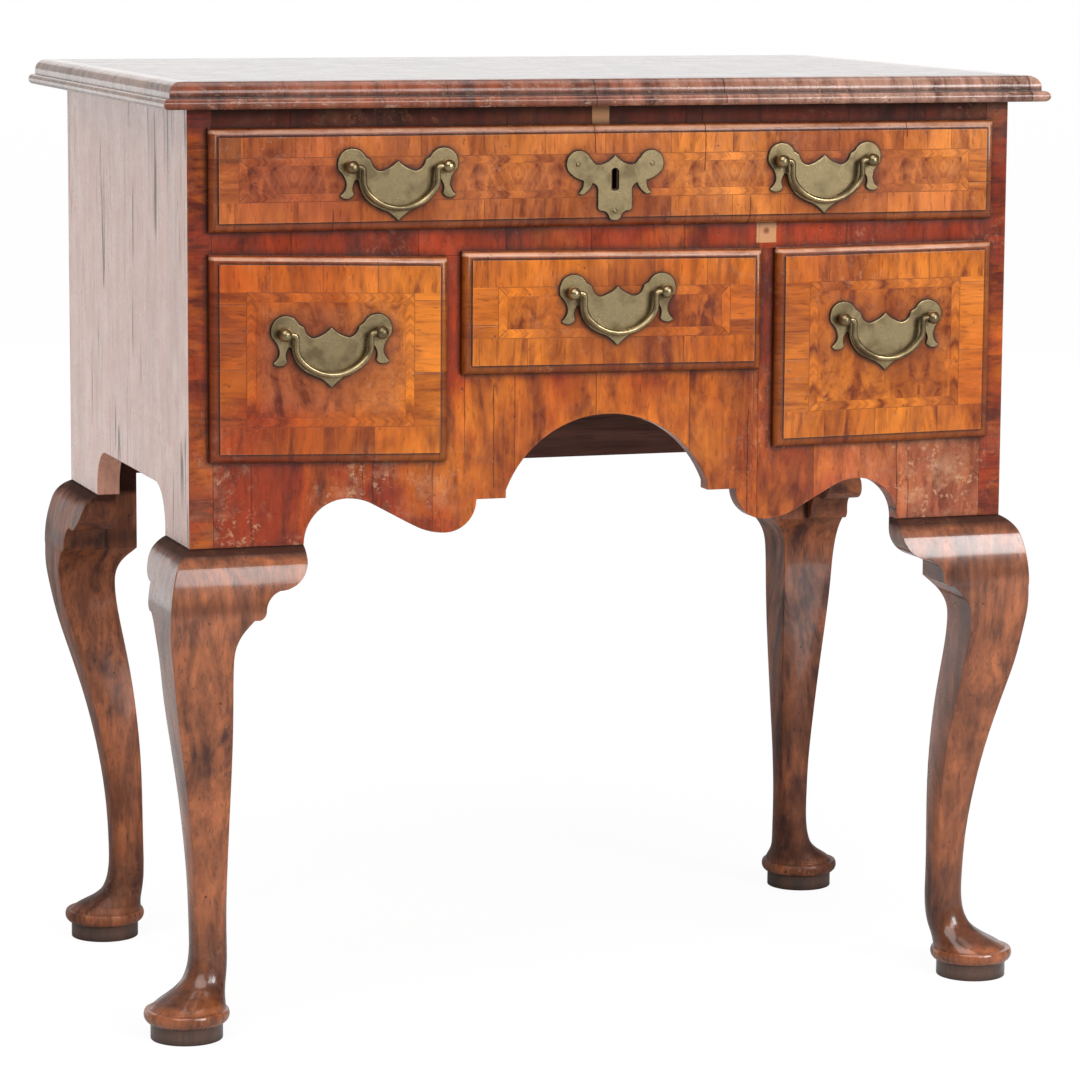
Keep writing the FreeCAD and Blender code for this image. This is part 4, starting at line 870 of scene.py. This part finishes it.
def moulding_finish(name, along):
    """Cross-grained moulding of short lengths, with dark joints and worn high spots; along is 0 for the one
    that runs along X and 1 for those along Y."""
    walnut = settings().lowboy_walnut
    veneer = settings().lowboy_veneer
    finish = Finish(name)
    g = finish.graph
    piece_length = 0.120
    run = (finish.x, finish.y)[along]
    number, tone, seam = finish.pieces(run, piece_length, 2.0 + along)
    across = g.stretch(finish.position, ((1.0, 0.15, 0.15), (0.15, 1.0, 0.15))[along])
    place = g.node("VectorMath", {0: across, 1: g.join(0.0, 0.0, g.times(number, 0.3))},
                   operation="ADD").outputs[0]
    # painted glare: the end mouldings are paler, and so is the right half of the front one, as a painted
    # highlight
    pale_share = (g.spread(finish.x, -0.08, 0.22, 0.0, 0.75), 1.0)[along]
    light = g.mix(pale_share, walnut.moulding, walnut.moulding_glare)
    tone = g.times_plus(pale_share, -0.40, g.spread(tone, 0.0, 1.0, -0.08, 0.40))
    wood = finish.grain(place, light, walnut.moulding_dark, figure=0.5, streaks=0.60, tone=tone)
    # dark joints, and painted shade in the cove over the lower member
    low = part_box("moulding_front")[0]
    cove = finish.band(finish.z, low.z + 0.0074, low.z + 0.0112, 0.0012)
    dirt_and_shade = g.times(g.most(seam, g.times(cove, (0.6, 0.2)[along])), 0.85)
    surface = g.mix(dirt_and_shade, wood["Color"], veneer.grime_and_shade)
    # chipped and rubbed to bare wood along its lower member and in spots above
    chips = g.noise(g.stretch(finish.position, (0.5, 0.5, 1.0)), 190.0, 5.0, 0.75)
    low_member = g.spread(finish.z, low.z + 0.0070, low.z + 0.0055, 0.30, 1.0)
    chips = g.times(g.spread(chips, 0.56, 0.62), low_member)
    chips = g.times(chips, g.spread(g.noise(finish.position, 26.0, 3.0), 0.42, 0.58))
    surface = g.mix(g.times(chips, 0.8), surface, walnut.chip)
    height = g.times_plus(g.most(seam, chips), -2.0, g.times(wood["Height"], 0.5))
    return finish.done(surface, height, depth=0.0004, rubbing=0.95, knocks=1.0, worn=walnut.moulding_worn,
                       coat=(0.50, 1.0)[along], dirt_and_shade=(0.9, 0.25)[along])


# heights over the floor: the top of the disc under a foot, and the lower and upper ends of the foot's rim
DISC_TOP = 0.0135
RIM_LOW = 0.0225
RIM_HIGH = 0.0285


def leg_finish(name, coat, dull, tone):
    """Polished solid walnut, with painted shade where the legs meet the case, and dark in the feet's hollows.
    """
    walnut = settings().lowboy_walnut
    finish = Finish(name)
    g = finish.graph
    upright = g.stretch(finish.position, (1.0, 1.0, 0.16))
    wood = finish.grain(upright, walnut.leg, walnut.leg_dark, figure=0.58, streaks=0.52, tone=tone)
    joint_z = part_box("side_left")[0].z
    dirt_and_shade = g.noise(finish.position, 60.0, 3.0)
    # painted shade just under the case, darker below the knee, and grime in soft clouds, over the foot and on
    # the disc
    shade_under_case = g.spread(finish.z, g.times_plus(dirt_and_shade, -0.020, joint_z - 0.001), joint_z - 0.004)
    clouds = g.noise(g.stretch(finish.position, (1.0, 1.0, 0.5)), 26.0, 4.0, 0.65)
    clouds = g.spread(clouds, 0.42, 0.64, 0.0, 0.56)
    below_knee = g.times(finish.band(finish.z, joint_z - 0.054, joint_z - 0.030, 0.010), 0.55)
    ankle = g.spread(finish.z, 0.110, 0.060, 0.0, 0.78)
    foot = g.times(g.spread(finish.z, RIM_LOW, RIM_HIGH), ankle)
    foot = g.times(foot, g.spread(dirt_and_shade, 0.30, 0.60, 0.70, 1.0))
    disc = g.spread(finish.z, DISC_TOP + 0.001, DISC_TOP - 0.001, 0.0, 0.85)
    grime_and_shade = g.most(g.times(shade_under_case, 0.95), clouds, below_knee, foot, disc)
    dark = g.mix(g.below(finish.z, DISC_TOP), walnut.leg_grime_and_shade, walnut.disc_grime)
    surface = g.mix(grime_and_shade, wood["Color"], dark)
    # the rim is the most rubbed, and the disc isn't rubbed at all
    rubbed = g.times(g.spread(finish.z, RIM_LOW, RIM_HIGH, 1.3, 0.40), g.above(finish.z, DISC_TOP))
    coat = g.times(g.minus(1.0, shade_under_case), coat)
    return finish.done(surface, g.times(wood["Height"], 0.4), depth=0.0004, rubbing=rubbed, knocks=1.0,
                       worn=walnut.leg_worn, coat=coat, rough=g.times_plus(shade_under_case, 0.4, dull))


def plain_finish(name, light, dark, stretched):
    """Unpolished wood, for the linings, the back and the runners."""
    finish = Finish(name)
    g = finish.graph
    wood = finish.grain(g.stretch(finish.position, stretched), light, dark, figure=0.4, streaks=0.8)
    return finish.done(wood["Color"], wood["Height"], depth=0.0003, rubbing=0.2, knocks=0.5, worn=light,
                       coat=0.0, rough=0.35)


def metal_finish(name, bright, tarnish, dull):
    """Old metal that has lost some of its shine."""
    finish = Finish(name)
    g = finish.graph
    made = g.use(shared("metal"), {"Position": finish.position, "Bright": bright, "Tarnish": tarnish})
    bump = g.node("Bump", {"Height": made["Height"], "Strength": 0.6, "Distance": 0.00010})
    rough = g.plus(made["Roughness"], dull) if dull else made["Roughness"]
    g.feed(finish.shader, {"Base Color": made["Color"], "Roughness": rough, "Metallic": 1.0,
                           "Normal": bump.outputs[0]})
    return finish.material


# ---------------------------------------------------------------- meshes

def paint(node, material):
    """Gives a CAD node that is shown as it is its finish."""
    for slot in frame["nodes"][node].material_slots:
        slot.material = material


def welded(node):
    """A CAD node's mesh with its corners joined and its flat faces whole."""
    work = bmesh.new()
    work.from_mesh(frame["nodes"][node].data)
    same_corner = 1e-6
    same_face = math.radians(0.4)
    bmesh.ops.remove_doubles(work, verts=work.verts, dist=same_corner)
    bmesh.ops.dissolve_limit(work, angle_limit=same_face, verts=work.verts, edges=work.edges)
    return work


def shade(mesh, limit):
    """Smooth shading over turns below the limit, in degrees; each face counts by its area, so broad ones
    stay flat."""
    cosine = math.cos(math.radians(limit))
    around = [[] for _ in mesh.vertices]
    for face in mesh.polygons:
        face.use_smooth = True
        for vertex in face.vertices:
            around[vertex].append(face.index)
    directions = [face.normal.copy() for face in mesh.polygons]
    weighted = [direction * face.area for direction, face in zip(directions, mesh.polygons)]
    normals = []
    for face in mesh.polygons:
        own = directions[face.index]
        for vertex in face.vertices:
            total = sum((weighted[near] for near in around[vertex] if directions[near].dot(own) > cosine),
                        Vector((0, 0, 0)))
            normals.append(total.normalized() if total.length > 0 else own)
    mesh.normals_split_custom_set(normals)


def shown(work, node, material):
    """Turns a worked mesh into the piece that stands for a CAD node."""
    mesh = bpy.data.meshes.new(node + "_dressed")
    work.to_mesh(mesh)
    work.free()
    mesh.materials.append(material)
    for face in mesh.polygons:
        face.material_index = 0
    shade(mesh, limit=38.0)
    piece = bpy.data.objects.new(node + "_dressed", mesh)
    bpy.context.scene.collection.objects.link(piece)
    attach(piece, owner(node))
    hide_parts(node)
    return piece


def soften(work, width, beside=()):
    """Wears a mesh's sharp edges round, but not where it lies flush against its neighbours."""
    surfaces = []
    for neighbour in beside:
        other = welded(neighbour)
        surfaces.append(BVHTree.FromBMesh(other))
        other.free()
    touching = 0.00005
    least_turn, most_turn = math.radians(35), math.radians(150)
    sharp = []
    for edge in work.edges:
        if len(edge.link_faces) != 2 or not least_turn < edge.calc_face_angle(0) < most_turn:
            continue
        middle = (edge.verts[0].co + edge.verts[1].co) / 2
        if all(surface.find_nearest(middle)[3] > touching for surface in surfaces):
            sharp.append(edge)
    bmesh.ops.bevel(work, geom=sharp, offset=width, segments=3, profile=0.6, affect="EDGES",
                    clamp_overlap=True)


def dressed(node, material, width, beside=()):
    """The piece that stands for a CAD node, made from the node's own mesh."""
    work = welded(node)
    soften(work, width, beside)
    return shown(work, node, material)


# ---------------------------------------------------------------- operators

class LOWBOY_OT_top(bpy.types.Operator):
    """Finish the top board and its three edge mouldings"""

    bl_idname = "lowboy.top"
    bl_label = "Top and mouldings"

    def execute(self, context):
        dressed("top_board", top_finish(), context.scene.lowboy_veneer.top_bevel)
        worn = context.scene.lowboy_walnut.moulding_bevel
        dressed("moulding_front", moulding_finish("Front moulding", 0), worn)
        ends = moulding_finish("End mouldings", 1)
        for side in ("left", "right"):
            dressed("moulding_" + side, ends, worn)
        return {"FINISHED"}


class LOWBOY_OT_case(bpy.types.Operator):
    """Finish the case: its sides, rails, uprights, apron and back"""

    bl_idname = "lowboy.case"
    bl_label = "Case"

    def execute(self, context):
        rails = ("front_apron", "frieze_rail", "middle_rail", "partition_left", "partition_right")
        sides = ("side_left", "side_right")
        for boards, finish in ((rails, front_finish()), (sides, side_finish())):
            for node in boards:
                beside = [other for other in rails + sides if other != node]
                dressed(node, finish, context.scene.lowboy_veneer.bevel, beside)
        walnut = context.scene.lowboy_walnut
        paint("back_board", plain_finish("Case wood", walnut.pine, walnut.pine_dark, ALONG_X))
        runner = plain_finish("Runner wood", walnut.pine, walnut.pine_dark, ALONG_Y)
        for node in ("long_drawer_runners", "side_drawer_runners", "centre_drawer_runners"):
            paint(node, runner)
        return {"FINISHED"}


class LOWBOY_OT_legs(bpy.types.Operator):
    """Finish the cabriole legs and the ears beside them"""

    bl_idname = "lowboy.legs"
    bl_label = "Legs"

    def execute(self, context):
        walnut = context.scene.lowboy_walnut
        # the back legs are painted darker, as painted shade, and most of their polish has gone
        front = leg_finish("Front leg walnut", coat=0.75, dull=0.0, tone=-0.05)
        back = leg_finish("Back leg walnut in painted shade", coat=0.08, dull=0.20, tone=0.14)
        for leg, ears, finish in (("leg_front_", "front_leg_ears_", front),
                                  ("leg_back_", "back_leg_ear_", back)):
            for side in ("left", "right"):
                dressed(leg + side, finish, walnut.leg_bevel, (ears + side,))
                dressed(ears + side, finish, walnut.ear_bevel, (leg + side,))
        return {"FINISHED"}


class LOWBOY_OT_drawers(bpy.types.Operator):
    """Finish the drawers: banded fronts and plain linings"""

    bl_idname = "lowboy.drawers"
    bl_label = "Drawers"

    def execute(self, context):
        walnut = context.scene.lowboy_walnut
        lining = plain_finish("Drawer side oak", walnut.oak, walnut.pine_dark, ALONG_Y)
        back = plain_finish("Drawer back oak", walnut.oak, walnut.pine_dark, ALONG_X)
        for drawer in DRAWERS:
            dressed(drawer + "_front", drawer_finish(drawer), context.scene.lowboy_veneer.drawer_bevel)
            for board in ("_side_left", "_side_right", "_bottom"):
                paint(drawer + board, lining)
            paint(drawer + "_back", back)
        return {"FINISHED"}


class LOWBOY_OT_brasses(bpy.types.Operator):
    """Finish the handles, the escutcheon and the lock"""

    bl_idname = "lowboy.brasses"
    bl_label = "Brasses and lock"

    def execute(self, context):
        metal = context.scene.lowboy_metal
        brass = metal_finish("Old brass", metal.brass, metal.tarnish, 0.0)
        for node in frame["nodes"]:
            if "backplate" in node or node == "escutcheon":
                dressed(node, brass, metal.plate_bevel)
            elif "_bail" in node or node.endswith("_handle_posts"):
                paint(node, brass)
        iron = metal_finish("Lock iron", metal.iron, metal.rust, 0.15)
        paint("lock_case", iron)
        paint("lock_bolt", iron)
        return {"FINISHED"}


class LOWBOY_OT_stage(bpy.types.Operator):
    """Set up the floor, the lamps and the camera"""

    bl_idname = "lowboy.stage"
    bl_label = "Studio"

    def execute(self, context):
        stage = context.scene.lowboy_stage
        self.sweep(stage)
        self.world(stage)
        self.key_light(stage)
        self.panel("Overhead lamp", stage.over, size=(2.0, 2.0), place=(0.3, 0.3, 3.0),
                   target=(0.1, 0.0, 0.5))
        self.panel("Front lamp", stage.front, size=(1.0, 1.2), place=(1.75, -3.3, 1.6),
                   target=(0.25, -0.2, 0.35))
        self.panel("Left front lamp", stage.left_front, size=(0.8, 1.3), place=(0.60, -3.1, 1.80),
                   target=(-0.33, -0.2, 0.30))
        self.panel("Lamp behind", stage.behind, size=(4.4, 2.0), place=(1.6, 4.2, 1.45),
                   target=(0.0, 0.0, 0.7))
        self.panel("Low lamp", stage.low, size=(1.5, 0.9), place=(-1.35, 2.1, 0.32),
                   target=(-0.33, 0.0, 0.5))
        self.camera(stage)
        return {"FINISHED"}

    def sweep(self, stage):
        """A pale floor that curves up into a backdrop."""
        near, bend, radius, height, half_width = -12.0, 9.0, 4.0, 14.0, 16.0
        steps = 12
        outline = [(near, 0.0), (bend, 0.0)]
        for step in range(1, steps + 1):
            turn = math.radians(90 * step / steps)
            outline.append((bend + radius * math.sin(turn), radius * (1 - math.cos(turn))))
        outline.append((bend + radius, height))
        work = bmesh.new()
        rows = [[work.verts.new((side * half_width, y, z)) for side in (-1, 1)] for y, z in outline]
        for lower, upper in zip(rows, rows[1:]):
            work.faces.new((lower[0], lower[1], upper[1], upper[0]))
        mesh = bpy.data.meshes.new("floor_sweep")
        work.to_mesh(mesh)
        work.free()
        for face in mesh.polygons:
            face.use_smooth = True
        mesh.materials.append(self.floor_material(stage))
        floor = bpy.data.objects.new("floor_sweep", mesh)
        bpy.context.scene.collection.objects.link(floor)

    def floor_material(self, stage):
        """A matt floor that the camera sees as nearly even white, with a faint shadow on it."""
        glow_share, glow_strength = 0.90, 1.035
        material = bpy.data.materials.new("Pale floor")
        material.use_nodes = True
        material.node_tree.nodes.clear()
        g = Graph(material.node_tree)
        by_camera = g.node("LightPath").outputs["Is Camera Ray"]
        bounce, floor = (stage.bounce,) * 3, (stage.floor,) * 3
        cloth = g.node("BsdfDiffuse", {"Color": g.mix(by_camera, bounce, floor)})
        glow = g.node("Emission", {"Color": (1, 1, 1), "Strength": glow_strength})
        seen = g.times(by_camera, glow_share)
        mixed = g.node("MixShader", {0: seen, 1: cloth.outputs[0], 2: glow.outputs[0]})
        g.node("OutputMaterial", {0: mixed.outputs[0]})
        return material

    def world(self, stage):
        """Even air that lights the lowboy softly and that the camera sees as white."""
        world = bpy.data.worlds.new("Studio")
        world.use_nodes = True
        world.node_tree.nodes.clear()
        g = Graph(world.node_tree)
        path = g.node("LightPath")
        plain = g.most(path.outputs["Is Camera Ray"], path.outputs["Is Transmission Ray"])
        air = g.node("Background", {"Color": (1, 1, 1), "Strength": stage.air})
        seen = g.node("Background", {"Color": (1, 1, 1), "Strength": 1.0})
        mixed = g.node("MixShader", {0: plain, 1: air.outputs[0], 2: seen.outputs[0]})
        g.node("OutputWorld", {0: mixed.outputs[0]})
        bpy.context.scene.world = world

    def key_light(self, stage):
        """A broad light that falls everywhere alike, from the front left and above."""
        data = bpy.data.lights.new("Key light", "SUN")
        data.energy = stage.key
        data.angle = math.radians(48)
        self.placed(data, place=(-1.5, -2.6, 3.4), target=(0, 0, 0))

    def panel(self, name, power_in_watts, size, place, target):
        """A rectangular lamp that the camera doesn't see."""
        data = bpy.data.lights.new(name, "AREA")
        data.energy = power_in_watts
        data.shape = "RECTANGLE"
        data.size, data.size_y = size
        self.placed(data, place, target).visible_camera = False

    def placed(self, data, place, target):
        """A lamp that stands at a place and shines at a target."""
        lamp = bpy.data.objects.new(data.name, data)
        lamp.location = place
        aim = Vector(target) - Vector(place)
        lamp.rotation_euler = aim.to_track_quat("-Z", "Y").to_euler()
        bpy.context.scene.collection.objects.link(lamp)
        return lamp

    def camera(self, stage):
        """A long lens at the lowboy's left, a little above its top."""
        place = Vector((-1.05296, -3.14390, 0.83441))
        heading, tilt, roll = 0.32749, 0.15079, 0.00611
        data = bpy.data.cameras.new("Camera")
        data.lens = stage.lens
        data.sensor_width = 36.0
        data.shift_x = 0.0011
        data.shift_y = 0.0060
        data.clip_end = 100.0
        camera = bpy.data.objects.new("Camera", data)
        forward = Vector((math.sin(heading) * math.cos(tilt), math.cos(heading) * math.cos(tilt),
                          -math.sin(tilt)))
        right = Vector((math.cos(heading), -math.sin(heading), 0))
        up = right.cross(forward)
        across = right * math.cos(roll) + up * math.sin(roll)
        upward = up * math.cos(roll) - right * math.sin(roll)
        turn = Matrix((across, upward, -forward)).transposed().to_4x4()
        camera.matrix_world = Matrix.Translation(place) @ turn
        bpy.context.scene.collection.objects.link(camera)
        bpy.context.scene.camera = camera
        bpy.context.scene.view_settings.view_transform = "Standard"


class LOWBOY_PT_panel(bpy.types.Panel):
    """Lists the lowboy's pieces"""

    bl_label = "Lowboy"
    bl_space_type = "VIEW_3D"
    bl_region_type = "UI"
    bl_category = "Lowboy"

    def draw(self, context):
        for operator in OPERATORS:
            self.layout.operator(operator.bl_idname)
        for name in SETTINGS:
            group = getattr(context.scene, name)
            column = self.layout.column(align=True)
            for prop in group.bl_rna.properties:
                if not prop.is_readonly and prop.identifier != "name":
                    column.prop(group, prop.identifier)


OPERATORS = (LOWBOY_OT_top, LOWBOY_OT_case, LOWBOY_OT_legs, LOWBOY_OT_drawers, LOWBOY_OT_brasses,
             LOWBOY_OT_stage)
SETTINGS = {
    "lowboy_veneer": LowboyVeneer,
    "lowboy_walnut": LowboyWalnut,
    "lowboy_metal": LowboyMetal,
    "lowboy_stage": LowboyStage,
}


def register():
    for name, group in SETTINGS.items():
        bpy.utils.register_class(group)
        setattr(bpy.types.Scene, name, PointerProperty(type=group))
    for operator in OPERATORS:
        bpy.utils.register_class(operator)
    bpy.utils.register_class(LOWBOY_PT_panel)


def unregister():
    bpy.utils.unregister_class(LOWBOY_PT_panel)
    for operator in reversed(OPERATORS):
        bpy.utils.unregister_class(operator)
    for name, group in SETTINGS.items():
        delattr(bpy.types.Scene, name)
        bpy.utils.unregister_class(group)


def main():
    register()
    bpy.ops.lowboy.top()
    bpy.ops.lowboy.case()
    bpy.ops.lowboy.legs()
    bpy.ops.lowboy.drawers()
    bpy.ops.lowboy.brasses()
    bpy.ops.lowboy.stage()


if __name__ == "__main__":
    main()
